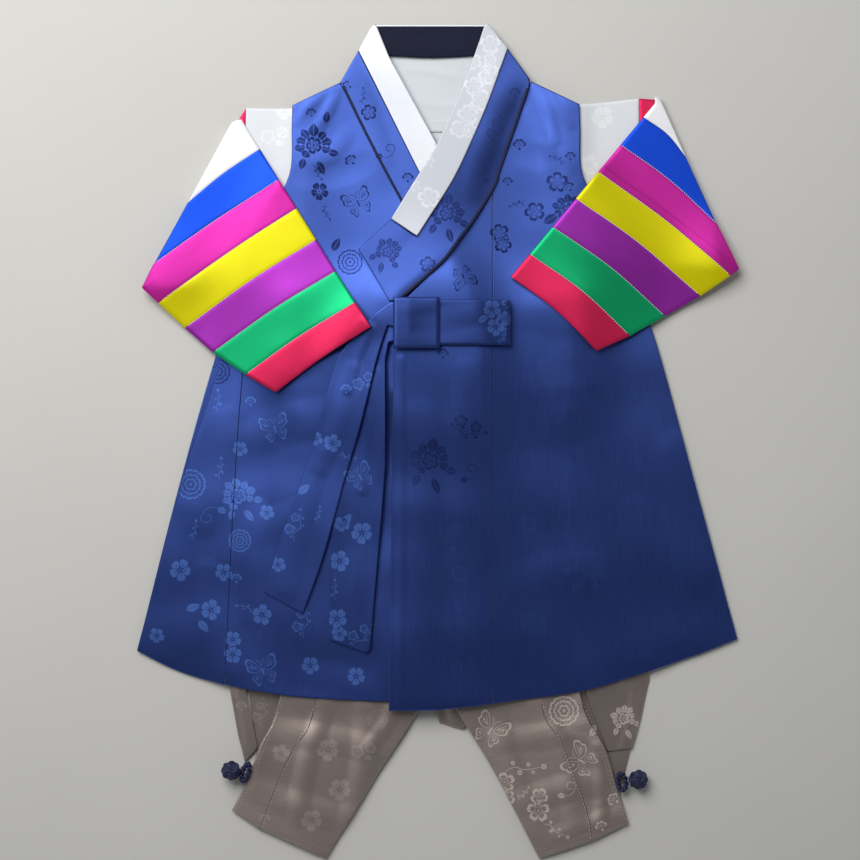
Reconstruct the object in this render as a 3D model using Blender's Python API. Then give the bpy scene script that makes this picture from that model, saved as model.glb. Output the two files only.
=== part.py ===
"""Korean hanbok for a small child, laid flat on its back: overcoat, striped-sleeved jacket and trousers.

Sizes are in millimetres in the tables and in metres in the meshes. +Y runs from hem to neck, +Z is up, and
the origin is on the underside of the overcoat's back, which lies on the surface.
"""
import math

import bmesh
import bpy
import numpy as np
from mathutils import Matrix

METRE = 0.001

# Cloth, seams and the grid on which the layers are laid
CLOTH = 1.0
COAT_CLOTH = 1.2
SEAM = 0.3
GRID = 2.0
GRID_HALF_X = 290.0
GRID_HALF_Y = 390.0
CELL_WHOLE = 600.0
CELL_LARGE = 26.0
CELL_MIDDLE = 17.0
CELL_SMALL = 11.0

# Overcoat
NECK_X = 81.0
NECK_Y = 306.0
SHOULDER_X = 122.0
SHOULDER_Y = 286.0
ARMHOLE_X = 125.0
ARMHOLE_Y = 226.0
UNDERARM_X = 150.0
UNDERARM_Y = 186.0
HEM_SIDE_X = 256.0
HEM_SIDE_Y = -173.0
HEM_MIDDLE_Y = -221.0
OVERLAP_X = -36.0
OVER_SEAM_X = 48.0
OVER_HEM_DROP = 7.0
COLLAR_TOP_Y = 355.0

# Jacket and tie
JACKET_LENGTH = 262.0
STRIPE_WIDTH = 31.0
CUFF_WIDTH = 25.0
SLEEVE_HOLLOW = 0.8
KNOT_CORNER = (-36.0, 79.0)
KNOT_SIZE = (39.0, 43.0)
KNOT_DEPTH = 5.0
LOOP_SIZE = (60.0, 38.0)
LOOP_HOLLOW = 1.4
LOOP_TUCK = 8.0
LOOP_DROP = 3.0
LOOP_REACH = 16.0
LOWER_SLEEVE_REACH = 36.0

# Trousers
WAIST_Y = 125.0
WAISTBAND_DEPTH = 22.0
WAIST_HALF = 108.0
CROTCH_Y = -200.0
KNOT_BALL = 15.5
BALL_SQUASH = 0.8
CORD = 3.2

COLOURS = {
    "blue": (0.065, 0.11, 0.42, 0.45),
    "navy": (0.017, 0.02, 0.05, 0.6),
    "white": (0.87, 0.87, 0.86, 0.55),
    "red": (0.72, 0.03, 0.12, 0.5),
    "stripe_blue": (0.02, 0.08, 0.72, 0.5),
    "magenta": (0.66, 0.03, 0.42, 0.5),
    "yellow": (0.8, 0.7, 0.02, 0.5),
    "purple": (0.38, 0.04, 0.5, 0.5),
    "green": (0.02, 0.48, 0.2, 0.5),
    "taupe": (0.2, 0.165, 0.15, 0.5),
}


def spline(points, steps=3):
    """A smooth line through the points, with the given steps in each span."""
    guides = [np.array(p, float) for p in points]
    guides = [2 * guides[0] - guides[1]] + guides + [2 * guides[-1] - guides[-2]]
    line = []
    for a, b, c, d in zip(guides, guides[1:], guides[2:], guides[3:]):
        for k in range(steps):
            t = k / steps
            line.append(tuple(0.5 * (2 * b + (c - a) * t + (2 * a - 5 * b + 4 * c - d) * t ** 2
                                     + (3 * b - a - 3 * c + d) * t ** 3)))
    return line + [tuple(guides[-2])]


def mirror(points):
    """The same line on the garment's other side, run the other way."""
    return [(-x, y) for x, y in reversed(points)]


def along(line, share):
    """The point at a share of a line's length."""
    pts = np.array(line, float)
    steps = np.hypot(*np.diff(pts, axis=0).T)
    total = np.concatenate([[0.0], np.cumsum(steps)])
    where = share * total[-1]
    return np.array([np.interp(where, total, pts[:, 0]), np.interp(where, total, pts[:, 1])])


class Pile:
    """The height of the cloth laid so far, on a square grid over the surface."""

    def __init__(self):
        self.x = np.arange(-GRID_HALF_X, GRID_HALF_X + GRID, GRID)
        self.y = np.arange(-GRID_HALF_Y, GRID_HALF_Y + GRID, GRID)
        self.top = np.zeros((len(self.x), len(self.y)))

    def highest(self, reach):
        """The highest cloth within reach of each grid point."""
        cells = math.ceil(reach / GRID) + 1
        field = self.top
        for axis in (0, 1):
            best = field.copy()
            for step in range(1, cells + 1):
                best = np.maximum(best, np.roll(field, step, axis))
                best = np.maximum(best, np.roll(field, -step, axis))
            field = best
        return field

    def inside(self, outline, margin=6.0):
        """True at the grid points inside an outline or within a margin of its points."""
        gx, gy = np.meshgrid(self.x, self.y, indexing="ij")
        mask = np.zeros(gx.shape, bool)
        for (xa, ya), (xb, yb) in zip(outline, outline[1:] + outline[:1]):
            if ya != yb:
                crosses = (gy < ya) != (gy < yb)
                mask ^= crosses & (gx < (xb - xa) * (gy - ya) / (yb - ya) + xa)
        cells = int(margin / GRID)
        for axis in (0, 1):
            mask = np.any([np.roll(mask, s, axis) for s in range(-cells, cells + 1)], axis=0)
        return mask

    def rest(self, reach, outline=None, stiff=0, folds=()):
        """Heights at which cloth lies on the pile: stiff cloth bridges its steps, and folds raise it."""
        found = self.highest(reach)
        low = np.where(found > 0, found + SEAM, 0.0)
        if stiff:
            mask = self.inside(outline).astype(float)
            height = low.copy()
            for _ in range(stiff):
                near = sum(np.roll(height * mask, s, a) for a in (0, 1) for s in (1, -1))
                share = sum(np.roll(mask, s, a) for a in (0, 1) for s in (1, -1))
                height = np.maximum(low, near / np.maximum(share, 1))
            low = np.where(mask > 0, height, low)
        for fold in folds:
            low = low + self.ridge(*fold)
        return low

    def ridge(self, start, end, width, height):
        """A soft fold of the given width and height between two points."""
        gx, gy = np.meshgrid(self.x, self.y, indexing="ij")
        run = np.subtract(end, start)
        share = ((gx - start[0]) * run[0] + (gy - start[1]) * run[1]) / (run @ run)
        share = np.clip(share, 0, 1)
        off = np.hypot(gx - start[0] - share * run[0], gy - start[1] - share * run[1])
        rise = 0.35 + 0.65 * np.sin(np.pi * share)
        return height * rise * np.clip(1 - (off / width) ** 2, 0, 1) ** 2

    def height_at(self, field, x, y):
        """A field's value at the grid point nearest to a place."""
        return field[int(round((x + GRID_HALF_X) / GRID)), int(round((y + GRID_HALF_Y) / GRID))]

    def add(self, mesh):
        """Raise the pile to the top of a laid piece."""
        mesh.calc_loop_triangles()
        points = np.array([v.co for v in mesh.vertices]) / METRE
        for tri in mesh.loop_triangles:
            a, b, c = points[list(tri.vertices)]
            normal = np.cross(b - a, c - a)
            if normal[2] <= 1e-6:
                continue
            low = np.minimum(np.minimum(a, b), c) - 1.5 * GRID
            high = np.maximum(np.maximum(a, b), c) + 1.5 * GRID
            ix = np.where((self.x >= low[0]) & (self.x <= high[0]))[0]
            iy = np.where((self.y >= low[1]) & (self.y <= high[1]))[0]
            gx, gy = np.meshgrid(self.x[ix], self.y[iy], indexing="ij")
            near = np.ones(gx.shape, bool)
            for p, q in ((a, b), (b, c), (c, a)):
                edge = q[:2] - p[:2]
                side = edge[0] * (gy - p[1]) - edge[1] * (gx - p[0])
                near &= side >= -1.5 * GRID * np.hypot(*edge)
            plane = a[2] - (normal[0] * (gx - a[0]) + normal[1] * (gy - a[1])) / normal[2]
            plane = np.clip(plane, low[2] + 1.5 * GRID, high[2] - 1.5 * GRID)
            block = np.ix_(ix, iy)
            self.top[block] = np.where(near, np.maximum(self.top[block], plane), self.top[block])


PILE = Pile()


def clear_scene():
    """Remove what the scene starts with."""
    for item in list(bpy.data.objects):
        bpy.data.objects.remove(item, do_unlink=True)


def garment_collection():
    """The collection that holds every piece."""
    made = bpy.data.collections.new("korean_hanbok")
    bpy.context.scene.collection.children.link(made)
    return made


def cloth_material(colour):
    """One material for each colour of cloth."""
    name = "cloth_" + colour
    if name not in bpy.data.materials:
        made = bpy.data.materials.new(name)
        made.use_nodes = True
        shader = made.node_tree.nodes["Principled BSDF"]
        red, green, blue, rough = COLOURS[colour]
        shader.inputs["Base Color"].default_value = (red, green, blue, 1.0)
        shader.inputs["Roughness"].default_value = rough
        shader.inputs["Metallic"].default_value = 0.0
    return bpy.data.materials[name]


def place(name, bm, colour, shaded=False):
    """Turn a bmesh in millimetres into the named object."""
    bmesh.ops.scale(bm, vec=(METRE, METRE, METRE), verts=bm.verts)
    bmesh.ops.recalc_face_normals(bm, faces=bm.faces)
    mesh = bpy.data.meshes.new(name)
    bm.to_mesh(mesh)
    bm.free()
    mesh.materials.append(cloth_material(colour))
    if shaded:
        mesh.shade_smooth()
    piece = bpy.data.objects.new(name, mesh)
    GARMENT.objects.link(piece)
    return piece


def panel_mesh(outline, cell, field, thick):
    """A cut panel: its outline filled, gridded, laid on a height field and given its thickness."""
    bm = bmesh.new()
    bm.faces.new([bm.verts.new((x, y, 0.0)) for x, y in outline])
    for axis in (0, 1):
        values = [p[axis] for p in outline]
        count = math.ceil((max(values) - min(values)) / cell)
        for k in range(1, count):
            point = [0.0, 0.0, 0.0]
            normal = [0.0, 0.0, 0.0]
            point[axis] = min(values) + k * (max(values) - min(values)) / count
            normal[axis] = 1.0
            everything = bm.verts[:] + bm.edges[:] + bm.faces[:]
            bmesh.ops.bisect_plane(bm, geom=everything, dist=0.01, plane_co=point, plane_no=normal)
    bmesh.ops.triangulate(bm, faces=bm.faces[:])
    for vert in bm.verts:
        vert.co.z = PILE.height_at(field, vert.co.x, vert.co.y)
    grown = bmesh.ops.extrude_face_region(bm, geom=bm.faces[:])
    risen = [g for g in grown["geom"] if isinstance(g, bmesh.types.BMVert)]
    bmesh.ops.translate(bm, verts=risen, vec=(0.0, 0.0, thick))
    return bm


def lay_panels(pieces, cell, thick=CLOTH, stiff=0, folds=()):
    """Lay panels that meet at seams, side by side, on the pile. A piece is (name, outline, colour)."""
    laid = []
    for name, outline, colour in pieces:
        field = PILE.rest(1.5 * cell, outline, stiff, folds)
        laid.append(place(name, panel_mesh(outline, cell, field, thick), colour))
    for piece in laid:
        PILE.add(piece.data)


def tube_piece(name, rows, field, thick, hollow, colour):
    """A flattened ring of cloth, such as a sleeve's stripe: two plies joined at both of their edges.

    Each row is a line of points from one edge to the other, and the ring is open at the first and last row.
    """
    bm = bmesh.new()
    count = len(rows[0])
    sections = []
    for row in rows:
        length = np.hypot(*np.subtract(row[-1], row[0]))
        inset = 1.3 * thick / length
        floor = [PILE.height_at(field, x, y) for x, y in row]
        outer = [(x, y, z) for (x, y), z in zip(row, floor)]
        outer += [(x, y, z + 2 * thick + hollow) for (x, y), z in reversed(list(zip(row, floor)))]
        inner = []
        for k in range(count):
            share = inset + (1 - 2 * inset) * k / (count - 1)
            spot = share * (count - 1)
            low = min(int(spot), count - 2)
            mixed = np.array(outer[low]) * (1 - spot + low) + np.array(outer[low + 1]) * (spot - low)
            inner.append(mixed)
        lower = [(x, y, z + thick) for x, y, z in inner]
        upper = [(x, y, z + thick + hollow) for x, y, z in reversed(inner)]
        sections.append([[bm.verts.new(p) for p in outer], [bm.verts.new(p) for p in lower + upper]])
    points = 2 * count
    for first, second in zip(sections, sections[1:]):
        for loop in (0, 1):
            for k in range(points):
                n = (k + 1) % points
                bm.faces.new((first[loop][k], first[loop][n], second[loop][n], second[loop][k]))
    for outer, inner in (sections[0], sections[-1]):
        for k in range(points):
            n = (k + 1) % points
            bm.faces.new((outer[k], outer[n], inner[n], inner[k]))
    bmesh.ops.triangulate(bm, faces=bm.faces[:])
    return place(name, bm, colour)


def stripe_rows(edge_a, edge_b, outer, shares=(0.0, 0.5, 1.0), points=8):
    """Rows of a stripe between its two seams, whose far ends follow the sleeve's outer edge."""
    rows = []
    for v in shares:
        row = []
        for u in np.linspace(0, 1, points):
            a = along(edge_a, u)
            b = along(edge_b, u)
            width = max(np.hypot(*(b - a)), 1.0)
            share = np.clip(v, 0.5 * SEAM / width, 1 - 0.5 * SEAM / width)
            bulge = along(outer, share) - (edge_a[-1] + share * np.subtract(edge_b[-1], edge_a[-1]))
            row.append(a + share * (b - a) + u ** 3 * bulge)
        rows.append(row)
    return rows


def piping(name, line, colour, radius=0.9, steps=3):
    """A thin corded edge laid along a line."""
    line = spline(line, steps)
    reach = max(np.hypot(*np.subtract(a, b)) for a, b in zip(line, line[1:]))
    field = PILE.rest(reach + 2 * radius)
    shape = bpy.data.curves.new(name, "CURVE")
    shape.dimensions = "3D"
    shape.bevel_depth = radius * METRE
    shape.bevel_resolution = 1
    shape.use_fill_caps = True
    run = shape.splines.new("POLY")
    run.points.add(len(line) - 1)
    for point, (x, y) in zip(run.points, line):
        height = PILE.height_at(field, x, y) + radius
        point.co = (x * METRE, y * METRE, height * METRE, 1.0)
    drawn = bpy.data.objects.new(name + "_line", shape)
    GARMENT.objects.link(drawn)
    solid = bpy.data.meshes.new_from_object(drawn.evaluated_get(bpy.context.evaluated_depsgraph_get()))
    bpy.data.objects.remove(drawn)
    bm = bmesh.new()
    bm.from_mesh(solid)
    bpy.data.meshes.remove(solid)
    bmesh.ops.remove_doubles(bm, verts=bm.verts, dist=0.00001)
    bmesh.ops.scale(bm, vec=(1 / METRE,) * 3, verts=bm.verts)
    piece = place(name, bm, colour, shaded=True)
    PILE.add(piece.data)


def coat_back():
    """The overcoat's back, flat on the surface."""
    right = [(NECK_X, NECK_Y), (SHOULDER_X, SHOULDER_Y)]
    right += [(ARMHOLE_X, ARMHOLE_Y), (UNDERARM_X, UNDERARM_Y)]
    right += spline([(UNDERARM_X + 2, UNDERARM_Y - 4), (186, 80), (220, -40),
                     (HEM_SIDE_X - 4, HEM_SIDE_Y)], 2)
    hem = spline([(214, -190), (120, -212), (0, HEM_MIDDLE_Y)], 3)
    neck = [(0.0, 322.0), (50.0, 330.0)]
    half = neck[1:] + right + hem
    outline = half + mirror(half[:-1]) + [neck[0]]
    lay_panels([("vest_back", outline, "blue")], CELL_WHOLE, COAT_CLOTH)


def jacket_back():
    """The white jacket's back, its inside showing at the neck."""
    hem_y = NECK_Y - JACKET_LENGTH
    half = [(44, 331), (NECK_X - 3, NECK_Y - 3), (SHOULDER_X - 2, SHOULDER_Y - 3)]
    half += [(SHOULDER_X - 1, 170), (132, hem_y + 8), (60, hem_y)]
    lay_panels([("jacket_back", half + mirror(half), "white")], CELL_WHOLE)


def neck_back():
    """What shows at the back of the neck: the white strip's edge, the dark facing and a stitched band."""
    behind = [(-52, COLLAR_TOP_Y + 1.3), (43, COLLAR_TOP_Y + 1.3), (34, 329), (-41, 329)]
    lay_panels([("strip_back", behind, "white")], CELL_SMALL)
    facing = [(-51, COLLAR_TOP_Y - 0.5), (42, COLLAR_TOP_Y - 0.5), (33, 328.5), (-40, 328.5)]
    lay_panels([("neck_facing", facing, "navy")], CELL_SMALL)
    band = [(-16, 274), (16, 274), (9, 264), (-9, 264)]
    lay_panels([("jacket_neck_band", band, "white")], CELL_SMALL)


# Stripe seams of the turned-back sleeves: place on the straight top fold, then on the outer edge.
# The first row is where the sleeve turns, and the last is the cuff.
LEFT_SLEEVE = {
    "fold_start": (-165.8, 274.8),
    "fold_end": (-54.8, 96.9),
    "widths": (29.5, STRIPE_WIDTH, 28.5, STRIPE_WIDTH, STRIPE_WIDTH, STRIPE_WIDTH, CUFF_WIDTH),
    "outer": ((-177, 267), (-212, 203), (-240, 151), (-236, 118),
              (-214, 97), (-190, 76), (-162, 57), (-136, 42)),
    "corner": (-250, 131),
    "bow": -2.0,
}
RIGHT_SLEEVE = {
    "fold_start": (187.0, 289.0),
    "fold_end": (63.2, 140.0),
    "widths": (16.0, STRIPE_WIDTH - 1, STRIPE_WIDTH - 1, 29.5, STRIPE_WIDTH - 0.5, 29.5, CUFF_WIDTH),
    "outer": ((191, 293), (213, 242), (239, 185), (250, 141),
              (225, 124), (195, 107), (165, 90), (136, 77)),
    "corner": (257.5, 147),
    "bow": 3.5,
}
TURNED = ("white", "stripe_blue", "magenta", "yellow", "purple", "green", "red")
TURNED_NAMES = ("white", "blue", "magenta", "yellow", "purple", "green", "cuff")
CORNER_STRIPE = 2
CORNER_LIFT = 5.0
SLEEVE_STIFF = 160
SLEEVE_REACH = 28.0

# The lengths of the sleeve that lie under the turned part: the near and far seam at the top and the underarm
LOWER_COLUMNS = ("name", "colour", "top_near", "top_far", "low_far", "low_near")
LEFT_LOWER = (
    ("head", "white", (-123, 284), (-162, 285), (-166, 152), (-127, 172)),
    ("inner_red", "red", (-162, 285), (-177, 266), (-181, 146), (-166, 152)),
    ("lower_white", "white", (-177, 266), (-211, 203), (-213, 134), (-181, 146)),
    ("lower_blue", "stripe_blue", (-211, 203), (-239, 151), (-240, 130), (-213, 134)),
)
RIGHT_LOWER = (
    ("head", "white", (124, 287), (173, 293), (175, 160), (130, 178)),
    ("inner_red", "red", (173, 293), (189, 294), (190, 155), (175, 160)),
    ("lower_white", "white", (189, 294), (212, 242), (214, 150), (190, 155)),
    ("lower_blue", "stripe_blue", (212, 242), (238, 186), (242, 146), (214, 150)),
)


def lower_sleeve(side, table):
    """The sleeve from the armhole to the turn, flat on the surface and the overcoat's back."""
    field = PILE.rest(LOWER_SLEEVE_REACH)
    laid = []
    for row in table:
        item = dict(zip(LOWER_COLUMNS, row))
        near = [item["top_near"], item["low_near"]]
        far = [item["top_far"], item["low_far"]]
        rows = stripe_rows(near, far, [near[1], far[1]], (0.0, 1.0), 6)
        name = "_".join(("sleeve", item["name"], side))
        laid.append(tube_piece(name, rows, field, CLOTH, SLEEVE_HOLLOW, item["colour"]))
    for piece in laid:
        PILE.add(piece.data)


def turned_sleeve(side, table):
    """The striped sleeve turned back over the front, its stripes as flattened rings."""
    start, end = (np.array(table[k]) for k in ("fold_start", "fold_end"))
    total = sum(table["widths"])
    shares = [sum(table["widths"][:k]) / total for k in range(len(table["widths"]) + 1)]
    top = [start + s * (end - start) for s in shares]
    outer = [np.array(p, float) for p in table["outer"]]
    seams = []
    for a, b in zip(top, outer):
        across = np.array((-(b - a)[1], (b - a)[0])) / np.hypot(*(b - a))
        seams.append(spline([a, 0.5 * (a + b) + table["bow"] * across, b], 4))
    hull = [tuple(p) for p in top + outer[::-1]]
    corner = np.array(table["corner"], float)
    ridge = (tuple(corner), tuple(0.5 * (outer[1] + outer[2])), 60.0, CORNER_LIFT)
    field = PILE.rest(SLEEVE_REACH, hull, SLEEVE_STIFF, [ridge])
    laid = []
    for k, (name, colour) in enumerate(zip(TURNED_NAMES, TURNED)):
        edge = [outer[k], outer[k + 1]]
        shares = (0.0, 0.5, 1.0)
        if k == CORNER_STRIPE:
            edge.insert(1, corner)
            lengths = np.hypot(*np.diff(edge, axis=0).T)
            turn = lengths[0] / lengths.sum()
            shares = (0.0, 0.5 * turn, turn, 1.0)
        rows = stripe_rows(seams[k], seams[k + 1], edge, shares)
        laid.append(tube_piece(f"sleeve_{name}_{side}", rows, field, CLOTH, SLEEVE_HOLLOW, colour))
    for piece in laid:
        PILE.add(piece.data)


# Trouser legs: places down each line, from under the overcoat to the ankle
LEFT_LEG = {
    "outer": ((-104, 100), (-118, -80), (-133, -217), (-150, -259), (-161, -288), (-174, -314)),
    "seam": ((-70, 100), (-86, -80), (-103, -224), (-121, -261), (-133, -286), (-150, -330)),
    "inner": ((-1, 100), (-1, -196), (-17, -232), (-47, -279), (-94, -355)),
    "flap": ((-176, -200), (-176, -211), (-169, -250), (-163, -273),
             (-152, -261), (-162, -212), (-162, -200)),
    "back": ((-163, -200), (-160, -214), (-153, -262), (-157, -290),
             (-168, -314), (-148, -326), (-97, -351)),
}
RIGHT_LEG = {
    "outer": ((104, 100), (112, -80), (122, -212), (144, -261), (154, -293), (164, -325)),
    "seam": ((70, 100), (80, -80), (89, -219), (107, -256), (128, -313), (133, -340)),
    "inner": ((1, 100), (1, -196), (18, -229), (44, -271), (66, -312), (88, -355)),
    "flap": ((182, -192), (182, -203), (175, -235), (167, -261),
             (146, -264), (128, -214), (128, -192)),
    "back": ((150, -200), (165, -248), (166, -262), (162, -277),
             (157, -300), (159, -321), (133, -336), (91, -351)),
}
LEG_GAP = 0.4


def sideways(line, amount):
    """A line moved along X."""
    return [(x + amount, y) for x, y in line]


def trouser_backs():
    """The back of each leg, and the flap at its side."""
    for side, leg, sign in (("left", LEFT_LEG, -1), ("right", RIGHT_LEG, 1)):
        outline = list(leg["inner"])[:-1] + list(leg["back"])[::-1] + [(sign * WAIST_HALF, 100)]
        lay_panels([("leg_back_" + side, outline, "taupe")], CELL_LARGE)
        lay_panels([("side_flap_" + side, list(leg["flap"]), "taupe")], CELL_SMALL)


def trouser_fronts():
    """The gusset between the legs, then the main panel and side strip of each leg, and the waistband."""
    gusset = [(-34, -150), (38, -150), (40, CROTCH_Y - 10), (24, -245), (3, -240), (-8, CROTCH_Y)]
    lay_panels([("gusset", gusset, "taupe")], CELL_MIDDLE)
    for side, leg, sign in (("left", LEFT_LEG, -1), ("right", RIGHT_LEG, 1)):
        main = list(leg["inner"]) + sideways(leg["seam"], -sign * LEG_GAP)[::-1]
        strip = sideways(leg["seam"], sign * LEG_GAP) + list(leg["outer"])[::-1]
        lay_panels([("leg_main_" + side, main, "taupe"), ("leg_side_" + side, strip, "taupe")], CELL_LARGE)
    low = WAIST_Y - WAISTBAND_DEPTH
    band = [(-WAIST_HALF, low), (WAIST_HALF, low), (WAIST_HALF, WAIST_Y), (-WAIST_HALF, WAIST_Y)]
    lay_panels([("waistband", band, "taupe")], 2 * CELL_LARGE)


def jacket_fronts():
    """The jacket's under and over front, inside the overcoat."""
    hem_y = NECK_Y - JACKET_LENGTH
    under = [(-NECK_X + 4, NECK_Y - 8), (-SHOULDER_X + 4, SHOULDER_Y - 6), (-SHOULDER_X + 2, 176)]
    under += [(-130, hem_y + 8), (20, hem_y + 2), (20, 170), (-14, 228)]
    over = [(NECK_X - 4, NECK_Y - 8), (SHOULDER_X - 4, SHOULDER_Y - 6), (SHOULDER_X - 2, 176)]
    over += [(130, hem_y + 8), (-30, hem_y + 2), (-30, 150), (22, 236)]
    lay_panels([("jacket_front_under", under, "white")], CELL_LARGE)
    lay_panels([("jacket_front_over", over, "white")], CELL_LARGE)


# Soft folds of the fronts: start, end, half width, height
UNDER_FOLDS = (
    ((-120, -20), (-140, -215), 26.0, 3.0),
    ((-215, -60), (-232, -180), 18.0, 2.5),
)
OVER_FOLDS = (
    ((120, 60), (150, -205), 30.0, 3.5),
    ((205, -10), (232, -175), 20.0, 3.0),
    ((88, 250), (104, 298), 7.0, 2.5),
)
GORE_FOLDS = (
    ((-12, 20), (-16, -226), 22.0, 3.0),
)


def coat_fronts():
    """The under front with its side gore, then the over front with its overlap gore."""
    seam = spline([(-UNDERARM_X, UNDERARM_Y), (-165, 56), (-173, -60), (-180, -205)], 2)
    under = [(-NECK_X, NECK_Y), (-SHOULDER_X, SHOULDER_Y), (-ARMHOLE_X, ARMHOLE_Y)]
    under += sideways(seam, LEG_GAP)
    under += spline([(-173, -211), (-107, -218), (-42, -220), (36, -221)], 2)[1:]
    under += [(36, 60), (10, 140), (-22, 206), (-50, 252)]
    gore = sideways(seam, -LEG_GAP)[::-1]
    gore += spline([(-UNDERARM_X - 3, UNDERARM_Y - 6), (-184, 66), (-218, -39), (-255, -178)], 2)
    gore += [(-218, -196)]
    lay_panels([("vest_front_under", under, "blue"), ("vest_side_gore", gore, "blue")],
               CELL_LARGE, COAT_CLOTH, 20, UNDER_FOLDS)
    over = [(NECK_X, NECK_Y + 1), (SHOULDER_X, SHOULDER_Y + 1), (ARMHOLE_X, ARMHOLE_Y)]
    over += [(UNDERARM_X, UNDERARM_Y)]
    over += spline([(UNDERARM_X + 3, UNDERARM_Y - 6), (186, 90), (222, -40), (257, -168)], 2)
    over += spline([(224, -181), (173, -198), (122, -212), (OVER_SEAM_X + LEG_GAP, -222)], 2)
    over += [(OVER_SEAM_X + LEG_GAP, 222), (60, 262)]
    overlap = [(OVER_SEAM_X - LEG_GAP, 222), (OVER_SEAM_X - LEG_GAP, -222)]
    overlap += [(3, -227), (OVERLAP_X - 4, HEM_MIDDLE_Y - OVER_HEM_DROP)]
    overlap += [(OVERLAP_X - 4, -217), (OVERLAP_X, 76), (OVERLAP_X + 2, 112), (2, 150), (28, 186)]
    lay_panels([("vest_front_over", over, "blue"), ("vest_front_gore", overlap, "blue")],
               CELL_LARGE, COAT_CLOTH, 20, OVER_FOLDS + GORE_FOLDS)


OVER_PIPED = ((79, 300), (68, 268), (55, 231), (51, 218), (34, 190), (21, 172),
              (8, 154), (-8, 139), (-26, 123))
UNDER_PIPED = ((-80, 300), (-64, 265), (-48, 231), (-34, 209))


def collars():
    """Blue bands with their piping, and the white strips on them."""
    under = [(-66, 333), (-81, 306), (-81, 300)] + list(UNDER_PIPED[1:]) + [(-11, 224)]
    lay_panels([("collar_under", under, "blue")], CELL_MIDDLE)
    piping("piping_under", [(x + 1.5, y) for x, y in UNDER_PIPED], "navy")
    white_under = [(-54, COLLAR_TOP_Y), (-66, 333), (-12, 225), (1, 240), (1, 253), (-40, 328)]
    white_under += [(-51, COLLAR_TOP_Y)]
    lay_panels([("strip_under", white_under, "white")], CELL_MIDDLE)
    over = [(61, 335), (80, 308)] + list(OVER_PIPED) + [(-39, 118), (-60, 154), (-66, 163)]
    over += [(-38, 189), (-16, 174), (20, 231), (26, 253)]
    lay_panels([("collar_over", over, "blue")], CELL_MIDDLE, CLOTH, 6)
    piping("piping_over", [(x - 1.5, y + 0.5) for x, y in OVER_PIPED], "navy")
    white_over = [(44, COLLAR_TOP_Y + 1), (61, 335), (26, 253), (20, 231), (-16, 174), (-38, 189), (0.5, 253)]
    white_over += [(9, 268), (33, 330), (42, COLLAR_TOP_Y)]
    lay_panels([("strip_over", white_over, "white")], CELL_MIDDLE, CLOTH, 6)


def tie():
    """The tie's short tail, and the long one over it."""
    short = [(-26, 112), (-26, 88), (-40, 84), (-43, 70), (-43, 15), (-43, -20), (-46, -60)]
    short += [(-56, -176), (-59, -179), (-90, -168), (-91, -166), (-89, -87), (-84, -20)]
    short += [(-82, 60), (-62, 90), (-40, 112)]
    lay_panels([("tie_tail_short", short, "blue")], CELL_MIDDLE, CLOTH, 12,
               [((-64, 20), (-72, -160), 9.0, 1.6)])
    long_left = spline([(-38, 118), (-54, 105), (-80, 76), (-94, 37), (-106, -8), (-128, -70),
                        (-146, -128)], 2)
    long_right = spline([(-113, -146), (-96, -98), (-78, -34), (-63, 18), (-50, 70), (-41, 98)], 2)
    tucked = [(-24, 96), (-24, 117)]
    lay_panels([("tie_tail_long", long_left + long_right + tucked, "blue")], CELL_MIDDLE, CLOTH, 12,
               [((-76, 40), (-124, -120), 9.0, 1.6)])


def bow():
    """The bow's one loop, pressed flat, and the knot over its end."""
    left = KNOT_CORNER[0]
    low = KNOT_CORNER[1]
    field = PILE.rest(LOOP_REACH)
    x_from = left + KNOT_SIZE[0] - LOOP_TUCK
    ys = np.linspace(low + LOOP_DROP, low + LOOP_DROP + LOOP_SIZE[1], 4)
    rows = [[(x, y) for x in np.linspace(x_from, x_from + LOOP_SIZE[0] + LOOP_TUCK, 8)] for y in ys]
    loop = tube_piece("tie_loop", rows, field, CLOTH, LOOP_HOLLOW, "blue")
    PILE.add(loop.data)
    bm = bmesh.new()
    bmesh.ops.create_cube(bm, size=1.0)
    bmesh.ops.scale(bm, vec=(KNOT_SIZE[0], KNOT_SIZE[1], KNOT_DEPTH), verts=bm.verts)
    bmesh.ops.bevel(bm, geom=bm.edges[:], offset=2.2, segments=2, affect="EDGES")
    outline = [(left, low), (left + KNOT_SIZE[0], low), (left + KNOT_SIZE[0], low + KNOT_SIZE[1]),
               (left, low + KNOT_SIZE[1])]
    seat = PILE.highest(1.0)[PILE.inside(outline, 2.0)].max() + SEAM
    centre = (left + 0.5 * KNOT_SIZE[0], low + 0.5 * KNOT_SIZE[1], seat + 0.5 * KNOT_DEPTH)
    bmesh.ops.translate(bm, vec=centre, verts=bm.verts)
    place("tie_knot", bm, "blue", shaded=True)


# Cord knots at the trousers' sides: ball centre, loop centre, loop length, loop width, loop turn in degrees
KNOTS = {
    "left": ((-174, -279), (-162, -281), 19.0, 11.0, 70.0),
    "right": ((172, -287), (157, -289), 18.0, 14.0, 100.0),
}


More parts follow.
